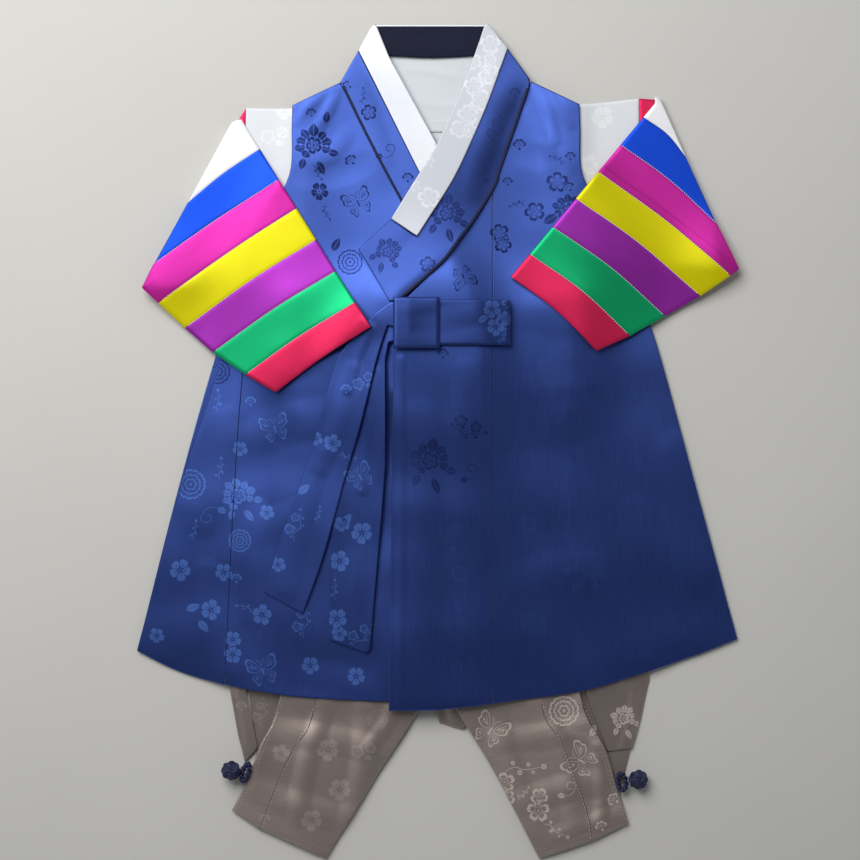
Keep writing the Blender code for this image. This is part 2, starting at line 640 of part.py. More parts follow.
def cord_knots():
    """A ball of knotted cord and its loop at each side of the trousers, side by side."""
    for side, (ball, loop, length, width, turn) in KNOTS.items():
        ball_seat = PILE.height_at(PILE.highest(0.3 * KNOT_BALL), *ball)
        loop_seat = PILE.height_at(PILE.highest(0.6 * length), *loop)
        bm = bmesh.new()
        bmesh.ops.create_uvsphere(bm, u_segments=12, v_segments=8, radius=0.5 * KNOT_BALL)
        bmesh.ops.scale(bm, vec=(1.0, 1.0, BALL_SQUASH), verts=bm.verts)
        lift = ball_seat + 0.5 * BALL_SQUASH * KNOT_BALL + (SEAM if ball_seat > 0 else 0.0)
        bmesh.ops.translate(bm, vec=(ball[0], ball[1], lift), verts=bm.verts)
        place("knot_ball_" + side, bm, "navy", shaded=True)
        bpy.ops.mesh.primitive_torus_add(major_segments=16, minor_segments=6,
                                         major_radius=0.5 * (width - CORD), minor_radius=0.5 * CORD)
        ring = bpy.context.object
        bm = bmesh.new()
        bm.from_mesh(ring.data)
        bpy.data.objects.remove(ring)
        bmesh.ops.scale(bm, vec=((length - CORD) / (width - CORD), 1.0, 1.0), verts=bm.verts)
        turned = Matrix.Rotation(math.radians(turn), 3, "Z")
        bmesh.ops.rotate(bm, cent=(0, 0, 0), matrix=turned, verts=bm.verts)
        bmesh.ops.translate(bm, vec=(loop[0], loop[1], loop_seat + SEAM + 0.5 * CORD), verts=bm.verts)
        place("knot_loop_" + side, bm, "navy", shaded=True)


clear_scene()
GARMENT = garment_collection()
coat_back()
jacket_back()
neck_back()
lower_sleeve("left", LEFT_LOWER)
lower_sleeve("right", RIGHT_LOWER)
trouser_backs()
trouser_fronts()
jacket_fronts()
coat_fronts()
collars()
tie()
turned_sleeve("left", LEFT_SLEEVE)
turned_sleeve("right", RIGHT_SLEEVE)
bow()
cord_knots()
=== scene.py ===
"""Looks of a small child's Korean hanbok laid flat: damask overcoat, striped-sleeved jacket and trousers.

Sizes in the tables are in millimetres and meshes are in metres. Every piece of cloth lies on a height field
of the pieces under it, laid in the order in which the garments were put down, so it stays where its solid is.
"""
import math

import bpy
import numpy as np
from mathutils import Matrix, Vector
from mathutils.geometry import delaunay_2d_cdt


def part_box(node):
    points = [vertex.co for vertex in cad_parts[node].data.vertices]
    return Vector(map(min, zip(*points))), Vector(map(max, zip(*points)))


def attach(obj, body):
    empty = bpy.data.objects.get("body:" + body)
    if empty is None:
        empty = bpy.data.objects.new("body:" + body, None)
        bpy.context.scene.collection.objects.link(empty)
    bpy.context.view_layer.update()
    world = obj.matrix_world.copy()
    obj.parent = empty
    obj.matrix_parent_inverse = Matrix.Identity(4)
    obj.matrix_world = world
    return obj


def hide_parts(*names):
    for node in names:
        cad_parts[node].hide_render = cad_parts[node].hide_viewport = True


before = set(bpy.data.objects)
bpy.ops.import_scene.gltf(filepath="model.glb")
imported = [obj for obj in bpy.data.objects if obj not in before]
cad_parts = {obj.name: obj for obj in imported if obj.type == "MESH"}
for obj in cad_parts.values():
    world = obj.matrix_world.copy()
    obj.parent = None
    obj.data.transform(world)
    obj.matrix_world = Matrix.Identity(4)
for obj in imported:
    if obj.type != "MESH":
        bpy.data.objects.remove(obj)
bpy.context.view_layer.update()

MM = 0.001

# Cloth
SILK = 0.9            # a panel with its lining and turnings
COAT_SILK = 1.1
PLY = 0.8             # one wall of a sleeve's ring
GAP = 0.3             # air between two layers
ROLL = 1.1            # how far in an edge rounds over
GRID = 1.5            # cells of the height field
HALF_X = 285.0
HALF_Y = 385.0
FINE = 2.8            # mesh spacing of cloth that shows
HALF_SEEN = 3.6       # of cloth that shows in part
LINED = 4.5           # of the jacket's fronts, inside the coat
COARSE = 6.0          # and of cloth that is covered

# Overcoat
NECK_X = 81.0
NECK_Y = 306.0
SHOULDER_X = 122.0
SHOULDER_Y = 286.0
ARMHOLE_X = 125.0
ARMHOLE_Y = 226.0
UNDERARM_X = 150.0
UNDERARM_Y = 186.0
HEM_SIDE_X = 256.0
HEM_SIDE_Y = -166.0
HEM_MIDDLE_Y = -221.0
OVERLAP_X = -36.0
OVER_SEAM_X = 48.0
OVER_HEM_DROP = 7.0
COLLAR_TOP_Y = 355.0
SEAM_HALF = 0.15

# Jacket, tie and trousers
JACKET_HEM_Y = 44.0
STRIPE = 31.0
CUFF = 25.0
KNOT_CORNER = (-36.0, 79.0)
KNOT_SIZE = (39.0, 43.0)
LOOP_SIZE = (60.0, 38.0)
WAIST_Y = 125.0
WAISTBAND_DEPTH = 22.0
WAIST_HALF = 108.0
CROTCH_Y = -200.0
KNOT_BALL = 15.5
BALL_SQUASH = 0.8
CORD = 3.2
SLEEVE_AIR = 0.9      # between the two walls of a sleeve
TURNED_AIR = 1.1      # of a sleeve that is turned back
LOOP_AIR = 2.4        # of the bow's loop
KNOT_AIR = 1.6        # of its knot

# Photograph: straight down, the width that its frame covers, and the place under its middle
VIEW_WIDTH = 731.0
VIEW_CENTRE = (-5.1, 10.2)
VIEW_HEIGHT = 1700.0
CLOTH_LEVEL = 8.0
SENSOR = 36.0         # width of the camera's sensor
FAR_CLIP = 20.0       # in metres
BOARD_HALF = 2.4      # half the side of the board under the clothes, in metres
BOARD_DROP = 0.0004   # how far its face is below the cloth, in metres


# Lines and outlines

def spline(points, steps=8):
    """A smooth line through the points."""
    guides = [np.array(p, float) for p in points]
    guides = [2 * guides[0] - guides[1]] + guides + [2 * guides[-1] - guides[-2]]
    line = []
    for a, b, c, d in zip(guides, guides[1:], guides[2:], guides[3:]):
        for t in np.arange(steps) / steps:
            line.append(0.5 * (2 * b + (c - a) * t + (2 * a - 5 * b + 4 * c - d) * t ** 2
                               + (3 * b - a - 3 * c + d) * t ** 3))
    return line + [guides[-2]]


def mirror(points):
    """The same line on the other side, run the other way."""
    return [(-x, y) for x, y in reversed(points)]


def sideways(line, amount):
    """The same line, moved along x."""
    return [(x + amount, y) for x, y in line]


def along(line, shares):
    """Points at shares of a line's length."""
    line = np.array(line, float)
    run = np.concatenate([[0.0], np.cumsum(np.hypot(*np.diff(line, axis=0).T))])
    where = np.asarray(shares) * run[-1]
    return np.stack([np.interp(where, run, line[:, 0]), np.interp(where, run, line[:, 1])], axis=-1)


def length_of(line):
    """How long a line is."""
    return float(np.hypot(*np.diff(np.array(line, float), axis=0).T).sum())


def even_edge(outline, spacing):
    """A closed outline cut into even steps, its corners kept."""
    outline = np.array(outline, float)
    points = []
    for a, b in zip(outline, np.roll(outline, -1, axis=0)):
        count = max(int(math.ceil(np.hypot(*(b - a)) / spacing)), 1)
        points += [a + (b - a) * k / count for k in range(count)]
    return np.array(points)


def inside(points, outline):
    """True for each point inside a closed outline."""
    outline = np.array(outline, float)
    found = np.zeros(len(points), bool)
    for (xa, ya), (xb, yb) in zip(outline, np.roll(outline, -1, axis=0)):
        if ya != yb:
            crosses = (points[:, 1] < ya) != (points[:, 1] < yb)
            found ^= crosses & (points[:, 0] < (xb - xa) * (points[:, 1] - ya) / (yb - ya) + xa)
    return found


def edge_distance(points, outline, closed=True):
    """How far each point is from a closed outline, or from an open line."""
    outline = np.array(outline, float)
    best = np.full(len(points), 1e9)
    for a, b in zip(outline if closed else outline[:-1], np.roll(outline, -1, axis=0)):
        run = b - a
        share = np.clip(((points - a) @ run) / max(run @ run, 1e-9), 0, 1)
        best = np.minimum(best, np.hypot(*(points - a - share[:, None] * run).T))
    return best


def signed_area(outline):
    """An outline's area, below 0 where it runs clockwise."""
    x, y = np.array(outline, float).T
    return 0.5 * float(x @ np.roll(y, -1) - y @ np.roll(x, -1))


def anticlockwise(outline):
    """An outline run anticlockwise."""
    outline = np.array(outline, float)
    return outline if signed_area(outline) > 0 else outline[::-1]


# The pile of cloth

# Slack swells of the cloth: turn in radians, wave in millimetres
SWELLS = ((0.4, 118.0), (1.9, 87.0), (2.7, 143.0), (1.1, 66.0), (3.4, 97.0))
SWELL_BEND = 14.0     # how far a swell wanders aside
CRISP = 1.6           # how narrow a fold's crest is


class Pile:
    """Heights of the cloth laid so far, in millimetres, on a grid over the surface."""

    def __init__(self):
        self.x = np.arange(-HALF_X, HALF_X + GRID, GRID)
        self.y = np.arange(-HALF_Y, HALF_Y + GRID, GRID)
        self.gx, self.gy = np.meshgrid(self.x, self.y, indexing="ij")
        self.top = np.zeros(self.gx.shape)

    def widest(self, field, cells):
        """Each cell's highest neighbour within a number of cells."""
        for axis in (0, 1):
            best = field.copy()
            for step in range(1, cells + 1):
                best = np.maximum(best, np.maximum(np.roll(field, step, axis), np.roll(field, -step, axis)))
            field = best
        return field

    def soft(self, field, cells):
        """A field with its steps rounded over a number of cells."""
        for axis in (0, 1):
            field = sum(np.roll(field, s, axis) for s in range(-cells, cells + 1)) / (2 * cells + 1)
        return field

    def rest(self, reach=3, bridge=30, folds=(), slack=0.0, phase=0.0, within=None, lift=()):
        """Heights at which cloth lies: rounded over each step below, and bridging the hollow beside it."""
        low = self.widest(self.top, reach + 1)
        low = np.where(low > 0, low + GAP, 0.0)
        low = self.soft(self.soft(low, max(reach - 1, 1)), 1)
        height = low.copy()
        share = np.ones(low.shape)
        part = (slice(None), slice(None))
        if within is not None:
            share = self.mask(within, 2 * GRID).astype(float)
            i, j = np.flatnonzero(share.any(axis=1)), np.flatnonzero(share.any(axis=0))
            part = (slice(i[0] - 1, i[-1] + 2), slice(j[0] - 1, j[-1] + 2))
        share, hollow, held = share[part], height[part], low[part]
        beside = np.maximum(sum(np.roll(share, s, a) for a in (0, 1) for s in (1, -1)), 1)
        for _ in range(bridge):
            mean = sum(np.roll(hollow * share, s, a) for a in (0, 1) for s in (1, -1)) / beside
            hollow = np.where(share > 0, np.maximum(held, mean), held)
        height[part] = hollow
        height = self.soft(height, 1)
        raised = sum((self.fold(*f) for f in folds), np.zeros(low.shape))
        if slack:
            raised = raised + slack * self.wander(phase)
        for place, radius, amount in lift:
            away = np.hypot(self.gx - place[0], self.gy - place[1]) / radius
            raised = raised + amount * np.exp(-away ** 2)
        return np.maximum(height + raised, low)

    def wander(self, phase):
        """A soft uneven swell from 0 to 1, as slack cloth has."""
        swell = np.zeros(self.top.shape)
        for k, (turn, wave) in enumerate(SWELLS):
            run = self.gx * math.cos(turn) + self.gy * math.sin(turn)
            across = self.gx * math.sin(turn) - self.gy * math.cos(turn)
            bend = SWELL_BEND * np.sin(across / (0.31 * wave) + k)
            swell += np.sin(2 * math.pi * (run + bend) / wave + phase * (1 + 0.7 * k) + 1.7 * k)
        return 0.5 + swell / (2 * len(SWELLS))

    def fold(self, start, end, width, height, bend=0.0):
        """A soft ridge between two points, highest near its middle; a height below 0 is a trough."""
        run = np.subtract(end, start)
        share = np.clip(((self.gx - start[0]) * run[0] + (self.gy - start[1]) * run[1]) / (run @ run), 0, 1)
        aside = bend * np.sin(np.pi * share) / np.hypot(*run)
        off_x = self.gx - start[0] - share * run[0] + aside * run[1]
        off_y = self.gy - start[1] - share * run[1] - aside * run[0]
        near = np.clip(1 - (np.hypot(off_x, off_y) / width) ** 2, 0, 1) ** CRISP
        return height * near * (0.25 + 0.75 * np.sin(np.pi * (0.12 + 0.76 * share)))

    def mask(self, outline, margin=0.0):
        """Cells inside an outline, or within a margin of it."""
        outline = np.array(outline, float)
        low, high = outline.min(axis=0) - margin - GRID, outline.max(axis=0) + margin + GRID
        near = (self.gx > low[0]) & (self.gx < high[0]) & (self.gy > low[1]) & (self.gy < high[1])
        found = np.zeros(self.top.shape, bool)
        found[near] = inside(np.stack([self.gx[near], self.gy[near]], axis=1), outline)
        cells = int(margin / GRID)
        for axis in (0, 1):
            found = np.any([np.roll(found, s, axis) for s in range(-cells, cells + 1)], axis=0)
        return found

    def at(self, field, points):
        """A field's height at places between its cells."""
        points = np.asarray(points, float)
        i = np.clip((points[..., 0] + HALF_X) / GRID, 0, len(self.x) - 2)
        j = np.clip((points[..., 1] + HALF_Y) / GRID, 0, len(self.y) - 2)
        a, b = i.astype(int), j.astype(int)
        s, t = i - a, j - b
        return ((1 - s) * (1 - t) * field[a, b] + s * (1 - t) * field[a + 1, b]
                + (1 - s) * t * field[a, b + 1] + s * t * field[a + 1, b + 1])

    def add(self, outline, field, thick):
        """Raise the pile to the top of a piece."""
        found = self.mask(outline, GRID)
        self.top = np.where(found, np.maximum(self.top, field + thick), self.top)


PILE = Pile()


# Woven figures, each a list of closed shapes around 0, 0; a shape inside another is a hole in it

def turned_by(shape, turn):
    """A shape turned around 0, 0."""
    c, s = math.cos(turn), math.sin(turn)
    return np.asarray(shape, float) @ np.array([[c, s], [-s, c]])


def disc(x, y, radius, points=10, squash=1.0, turn=0.0):
    """A round or oval shape."""
    angle = np.linspace(0, 2 * np.pi, points, endpoint=False)
    shape = np.stack([radius * np.cos(angle), radius * squash * np.sin(angle)], axis=1)
    return turned_by(shape, turn) + (x, y)


def stroke(line, width, steps=4):
    """A line woven at a width, narrowing at its ends."""
    line = np.array(spline(line, steps))
    run = np.gradient(line, axis=0)
    side = np.stack([-run[:, 1], run[:, 0]], axis=1) / np.hypot(*run.T)[:, None]
    half = 0.5 * width * (0.45 + 0.55 * np.sin(np.linspace(0.15, math.pi - 0.15, len(line))))
    return np.concatenate([line + side * half[:, None], (line - side * half[:, None])[::-1]])


def rimmed(shape, foot, share):
    """A shape and the hole in it that leaves a rim, broadest away from its foot."""
    return [shape, np.array(foot) + share * (shape - foot)]


# Buds on a twig and on a branch: x, y and radius, as shares of its size
BUDS = ((-0.6, 0.26, 0.13), (-0.15, -0.26, 0.15), (0.3, 0.24, 0.12), (0.62, -0.18, 0.1), (1.2, 0.2, 0.16))
BRANCH_BUDS = ((-1.0, 0.02, 0.11), (-0.2, 0.1, 0.12), (0.35, -0.42, 0.11), (0.95, -0.1, 0.12),
               (1.5, 0.5, 0.13))


def rings_at(places, size):
    """Small rings, as buds are woven; places and radii are shares of a size."""
    return [part for x, y, radius in places
            for part in rimmed(disc(x * size, y * size, radius * size, 8), (x * size, y * size), 0.35)]


def leaf(foot, tip, width, points=6):
    """Two halves of a pointed leaf with its vein between them."""
    foot, tip = np.array(foot, float), np.array(tip, float)
    run = tip - foot
    side = np.array((-run[1], run[0])) / np.hypot(*run)
    share = np.linspace(0.0, 1.0, points)
    vein = foot + share[:, None] * run
    swell = 0.5 * width * np.sin(np.pi * share ** 0.85)[:, None]
    return [np.concatenate([vein + side * 0.2, (vein + side * (swell + 0.25))[-2:0:-1]]),
            np.concatenate([vein - side * 0.2, (vein - side * (swell + 0.25))[-2:0:-1]])]


def lobe(near, far, width):
    """A round-ended petal along x, with a faint notch in its end."""
    reach = far - near
    half = [(near, 0.0), (near + 0.22 * reach, 0.3 * width), (near + 0.58 * reach, 0.5 * width),
            (near + 0.85 * reach, 0.42 * width), (far, 0.2 * width)]
    loop = half + [(far - 0.05 * reach, 0.0)] + [(x, -y) for x, y in half[:0:-1]] + [(near, 0.0)]
    return np.array(spline(loop, 3)[:-1])


def blossom(size, turn=0.3):
    """A plum blossom: five petals with broad rims, and its stamens."""
    shapes = [disc(0, 0, 0.09 * size, 6)]
    for k in range(5):
        angle = turn + k * 2 * math.pi / 5
        petal = lobe(0.2 * size, (1.0 + 0.05 * math.sin(3 * k + size)) * size, 0.78 * size)
        shapes += [turned_by(part, angle) for part in rimmed(petal, (0.3 * size, 0.0), 0.58)]
        shapes.append(disc(0.42 * size * math.cos(angle), 0.42 * size * math.sin(angle), 0.05 * size, 5))
    return shapes


def full_blossom(size):
    """The same flower woven solid, with a dark heart."""
    shapes = [disc(0, 0, 0.08 * size, 6)]
    for k in range(5):
        angle = 0.9 + k * 2 * math.pi / 5
        petal = lobe(0.22 * size, (1.0 + 0.06 * math.sin(2 * k + size)) * size, 0.8 * size)
        crease = stroke([(0.36 * size, 0.02 * size), (0.62 * size, 0.0)], 0.1 * size, 2)
        shapes += [turned_by(petal, angle), turned_by(crease, angle)]
    return shapes


def small_blossom(size):
    """A half-open blossom seen from its side, over its bud."""
    shapes = [disc(0.0, -0.42 * size, 0.2 * size, 7)]
    petal = rimmed(lobe(0.1 * size, 0.95 * size, 0.6 * size), (0.2 * size, 0.0), 0.6)
    for angle in (0.35, 1.2, 2.0, 2.8):
        shapes += [turned_by(part, angle) for part in petal]
    return shapes


def buds(size):
    """Round buds on a fine twig."""
    twig = size * np.array([(-1.0, -0.25), (-0.45, 0.04), (0.1, -0.08), (1.0, 0.14)])
    return [stroke(twig, 0.6)] + rings_at(BUDS, size)


def peony(size):
    """A full flower: a heart of round petals, a ring of broad pointed ones with veins, and its leaves."""
    shapes = [disc(0, 0, 0.08 * size, 6)]
    for k in range(5):
        angle = (k + 0.3) * 2 * math.pi / 5
        petal = lobe(0.13 * size, (0.5 + 0.05 * math.sin(2.3 * k)) * size, 0.42 * size)
        shapes += [turned_by(part, angle) for part in rimmed(petal, (0.22 * size, 0.0), 0.5)]
    for k in range(8):
        angle = 1.5 + 0.62 * (k - 3.5) + 0.08 * math.sin(5 * k + size)
        reach = 1.3 - 0.07 * abs(k - 3.3) + 0.1 * math.sin(2.3 * k + size)
        petal = leaf((0.52 * size, 0.0), (reach * size, 0.04 * size * math.sin(3 * k)),
                     (0.5 + 0.1 * (k % 2)) * size)
        shapes += [turned_by(part, angle) for part in petal]
    for angle, long in ((3.75, 1.7), (4.6, 1.95), (5.5, 1.65)):
        foot = (size * math.cos(angle), size * math.sin(angle))
        tip = (long * size * math.cos(angle + 0.12), long * size * math.sin(angle + 0.12))
        shapes += leaf(foot, tip, 0.42 * size)
    return shapes


def round_flower(size):
    """A round many-petalled flower in close rings, each petal with its rim."""
    shapes = [disc(0, 0, 0.1 * size, 7)]
    for count, near, far in ((6, 0.14, 0.42), (9, 0.44, 0.7), (13, 0.72, 1.02)):
        for k in range(count):
            wide = 1.86 * math.pi * (0.35 * near + 0.65 * far) / count * size
            petal = lobe(near * size, far * size, wide)
            shapes += [turned_by(part, (k + 0.5 * (count % 2)) * 2 * math.pi / count)
                       for part in rimmed(petal, (near * size, 0.0), 0.62)]
    return shapes


# A butterfly's upper and lower wing as shares of its size: outline, foot of its veins, and their tips
WINGS = (
    (((0.1, 0.1), (0.26, 0.46), (0.5, 0.8), (0.82, 0.98), (0.98, 0.74), (0.9, 0.5), (0.96, 0.3), (0.74, 0.1),
      (0.42, 0.0), (0.1, 0.1)), (0.3, 0.24), ((0.72, 0.76), (0.8, 0.56), (0.76, 0.3))),
    (((0.1, -0.08), (0.44, -0.1), (0.7, -0.2), (0.72, -0.42), (0.58, -0.56), (0.5, -0.82), (0.28, -0.7),
      (0.16, -0.36), (0.1, -0.08)), (0.26, -0.2), ((0.58, -0.34), (0.42, -0.62))),
)


def butterfly(size):
    """A butterfly in fine lines: scalloped wings with their veins, and feelers."""
    shapes = [disc(0, 0.0, 0.3 * size, 8, 0.2, math.pi / 2)]
    for side in (-1, 1):
        for wing, foot, veins in WINGS:
            parts = rimmed(np.array(spline(wing, 3)[:-1]), foot, 0.84)
            parts += [stroke([foot, 0.5 * np.add(foot, tip) + (0.02, 0.03), tip], 0.4 / size, 2)
                      for tip in veins]
            eye = 0.45 * np.array(foot) + 0.55 * np.mean(veins, axis=0) + (0.08, 0.0)
            parts.append(disc(*eye, 0.06, 6))
            shapes += [part * (side * size, size) for part in parts]
        shapes.append(stroke([(side * 0.03 * size, 0.34 * size), (side * 0.1 * size, 0.62 * size),
                              (side * 0.3 * size, 0.8 * size)], 0.5, 3))
    return shapes


def tendril(size):
    """A curling stem with a leaf."""
    turns = np.linspace(0, 3.4 * math.pi / 2, 7)
    reach = np.linspace(0.55, 0.16, 7)
    curl = [(0.35 * size + r * size * math.cos(t), 0.2 * size + r * size * math.sin(t))
            for t, r in zip(turns, reach)]
    shapes = [stroke([(-0.5 * size, -0.5 * size), (0.3 * size, -0.55 * size)] + curl, 0.6, 3)]
    shapes += leaf((-0.45 * size, -0.5 * size), (-1.2 * size, -0.2 * size), 0.5 * size)
    return shapes


def branch(size):
    """A flowering plum branch: its twig, two blossoms and buds."""
    shapes = [stroke([(-1.3 * size, -0.45 * size), (-0.6 * size, -0.06 * size), (0.1 * size, -0.3 * size),
                      (0.6 * size, 0.0), (1.3 * size, 0.3 * size)], 0.65)]
    shapes += rings_at(BRANCH_BUDS, size)
    for x, y, part in ((-0.5, 0.5, 0.46), (0.66, 0.55, 0.4)):
        shapes += [shape + (x * size, y * size) for shape in blossom(part * size, x)]
    return shapes


def spray(size):
    """Two blossoms overlapping, with a leaf."""
    shapes = [shape + (-0.5 * size, 0.2 * size) for shape in blossom(0.62 * size)]
    shapes += [shape + (0.62 * size, -0.3 * size) for shape in blossom(0.5 * size, 0.8)]
    return shapes + leaf((-0.3 * size, -0.5 * size), (0.1 * size, -1.15 * size), 0.4 * size)


def leafy(size):
    """A single leaf."""
    return leaf((-size, 0), (size, 0), size)


FIGURES = {"blossom": blossom, "full": full_blossom, "small": small_blossom, "buds": buds, "peony": peony,
           "round": round_flower, "butterfly": butterfly, "tendril": tendril, "branch": branch,
           "spray": spray, "leafy": leafy}

# Figures on the fronts of the overcoat: kind, x, y, size, turn in degrees
COAT_FIGURES = (
    ("peony", -104, 252, 13, 20), ("small", -106, 279, 4.5, 10), ("leafy", -93, 276, 5, 80),
    ("full", -99, 213, 7, 0), ("buds", -101, 230, 6, -70), ("buds", -94, 196, 6, -70),
    ("butterfly", -66, 203, 12, 25), ("small", -72, 239, 5.5, 40), ("leafy", -85, 168, 6, 60),
    ("round", -73, 153, 10, 0), ("blossom", -57, 280, 6.5, 15), ("buds", -62, 293, 6, 80),
    ("tendril", -42, 247, 8, 10), ("small", -75, 302, 5, 80), ("small", -24, 224, 5, 0),
    ("peony", -41, 161, 9.5, -20), ("round", -186, 60, 10, 0), ("branch", -158, 88, 11, 60),
    ("blossom", -205, 30, 7, 0), ("small", -60, 44, 5, 0), ("branch", -70, 24, 9, 70),
    ("peony", 9, 194, 12.5, 10), ("blossom", -7, 150, 6.5, 0), ("butterfly", 23, 140, 10, 200),
    ("branch", 52, 264, 8, 60), ("small", 67, 296, 5, 0), ("tendril", 40, 228, 7, 90),
    ("blossom", 103, 221, 8.5, 0), ("small", 113, 216, 5, 30), ("blossom", 84, 196, 8, 25),
    ("peony", 113, 197, 11, 60), ("buds", 70, 203, 6, 190), ("leafy", 98, 190, 7, 30),
    ("small", 71, 252, 6, 0), ("buds", 104, 240, 6, 150), ("small", 114, 242, 4.5, 0),
    ("blossom", 54, 178, 7.5, 15), ("blossom", 57, 168, 7, 50), ("small", 61, 221, 4.5, 0),
    ("peony", -5, -16, 14, 15), ("branch", 24, 10, 11, -25), ("tendril", 28, -26, 8, 30),
    ("small", 6, 74, 5, 0),
)
# Those low on its right side, with a copy of the figure's finish coloured almost as the ground: painted sheen
SHEEN_PAINTED_FIGURES = (
    ("round", 30, 55, 9, 0), ("blossom", 20, -112, 7, 0), ("butterfly", 98, 24, 11, 0),
    ("peony", 158, 40, 13, 40), ("blossom", 84, 76, 7, 0), ("branch", 120, -20, 12, 40),
    ("butterfly", 182, -62, 12, -20), ("blossom", 78, -70, 7, 10), ("peony", 130, -106, 13, -30),
    ("tendril", 10, -84, 8, 100), ("butterfly", 12, -150, 11, 25), ("round", 84, -156, 10, 0),
    ("blossom", 200, -122, 7, 0), ("branch", 24, -196, 11, 10), ("buds", 152, -168, 9, 50),
    ("blossom", 230, -150, 7, 20), ("buds", 142, 140, 8, 80),
)
# Those low on its left side, with a lighter copy of the figure's finish: painted light where the window
# shines
PAINTED_LIGHT_FIGURES = (
    ("butterfly", -137, 11, 12, 15), ("full", -167, -6, 6, 0), ("small", -158, 34, 5, 0),
    ("buds", -186, 34, 8, 80), ("round", -209, -36, 12, 0), ("buds", -184, -24, 8, 75),
    ("peony", -168, -46, 12, 30), ("tendril", -191, -62, 10, 180), ("full", -144, -60, 6, 0),
    ("round", -167, -84, 9, 0), ("buds", -206, -76, 7, 70), ("full", -218, -109, 8.5, 10),
    ("full", -181, -111, 7, 0), ("small", -170, -117, 5, 0), ("full", -192, -143, 8, 20),
    ("leafy", -207, -141, 6, 20), ("leafy", -198, -157, 6, -50), ("full", -148, -147, 8, 30),
    ("buds", -161, -141, 7, 160), ("full", -173, -168, 6.5, 0), ("full", -173, -181, 7, 40),
    ("butterfly", -147, -195, 13, 15), ("full", -107, -190, 7, 0), ("branch", -112, -154, 9, 70),
    ("full", -68, -199, 7, 0), ("full", -238, -165, 6, 0),
)
# And those of the tie's tails
TAIL_FIGURES = (
    ("small", -76, 44, 5, 0), ("full", -102, 3, 5.5, 0), ("full", -88, -1, 7, 20), ("buds", -76, -12, 6, -20),
    ("leafy", -112, -40, 6, 40), ("branch", -118, -72, 9, 60), ("full", -134, -104, 6, 0),
    ("buds", -100, -62, 6, 70), ("spray", -62, 52, 8, 60), ("butterfly", -64, -30, 11, 30),
    ("full", -80, -70, 6, 0), ("full", -63, -77, 8.5, 0), ("leafy", -76, -66, 6, 50),
    ("full", -82, -101, 8, 20), ("buds", -86, -126, 7, 80), ("full", -84, -150, 8, 0),
    ("full", -82, -163, 6, 30), ("branch", -64, -166, 9, 30),
)
# Those of the bow's loop
LOOP_FIGURES = (
    ("full", 47, 112, 7, 0), ("full", 58, 104, 6, 30), ("full", 50, 97, 7, 10), ("buds", 56, 88, 6, 60),
    ("leafy", 40, 104, 5, 30), ("small", 60, 116, 5, 0),
)
# The same on the trousers
TROUSER_FIGURES = (
    ("butterfly", 46, -246, 14, -30), ("buds", 74, -278, 14, -5), ("blossom", 58, -290, 8.5, 10),
    ("blossom", 60, -303, 7, 30), ("buds", 74, -300, 6, 40), ("blossom", 88, -302, 7, 40),
    ("blossom", 87, -314, 9, 0), ("buds", 101, -330, 10, -40), ("round", 109, -229, 12, 0),
    ("butterfly", 124, -272, 14, 60), ("tendril", 112, -296, 8, 20), ("small", 152, -305, 6, 60),
    ("small", 141, -328, 5.5, 20), ("peony", 160, -236, 9, 20), ("leafy", 134, -246, 5, 60),
)
# Faint ones on its left leg, woven solid
FAINT_FIGURES = (
    ("full", -92, -262, 9, 0), ("full", -132, -265, 7, 20), ("spray", -62, -262, 9, 40),
    ("full", -82, -296, 9, 0), ("buds", -128, -302, 8, 60), ("full", -106, -322, 8.5, 0),
    ("full", -66, -330, 7, 30), ("small", -146, -322, 5, 0), ("round", -50, -236, 8, 0),
    ("small", -166, -226, 5, 0), ("branch", -148, -232, 8, 70), ("small", -172, -215, 5, 40),
)
LEG_FIGURES = (TROUSER_FIGURES, FAINT_FIGURES)
# And on the white strips and sleeve heads
WHITE_FIGURES = (
    ("blossom", -6, 207, 9, 10), ("small", -16, 216, 5, 60), ("blossom", 46, 338, 8, 0),
    ("spray", 38, 324, 11, 30), ("blossom", 45, 312, 9, 30), ("blossom", 32, 302, 8, 0),
    ("blossom", 38, 290, 9, 50), ("blossom", 27, 278, 8.5, 10), ("blossom", 20, 266, 8, 40),
    ("blossom", 29, 264, 6, 0), ("blossom", -10, 248, 7.5, 0), ("small", -5, 236, 5, 30),
    ("full", 142, 277, 9, 0), ("full", 130, 236, 8, 20), ("spray", 164, 236, 9, 0), ("full", 150, 205, 9, 0),
    ("spray", -138, 262, 10, 40), ("full", -129, 282, 7, 0), ("full", -146, 218, 9, 20),
    ("full", -136, 196, 8, 0),
)
# A repeat of the same cloth for the sides that face down: kind, x, y, size, turn
REPEAT = (
    ("peony", 22, 30, 13, 20), ("branch", 80, 24, 12, 30), ("butterfly", 118, 72, 12, -15),
    ("round", 62, 84, 11, 0), ("blossom", 16, 96, 8, 0), ("branch", 96, 130, 12, -40),
    ("blossom", 134, 20, 8, 10), ("butterfly", 30, 148, 13, 25), ("tendril", 128, 166, 10, 0),
)
REPEAT_SIZE = (150.0, 190.0)
FULLNESS = 1.06       # every figure is drawn this much larger than its size


def placed(kind, x, y, size, turn):
    """A figure's shapes at their place on the cloth."""
    return [turned_by(FULLNESS * shape, math.radians(turn)) + (x, y) for shape in FIGURES[kind](size)]


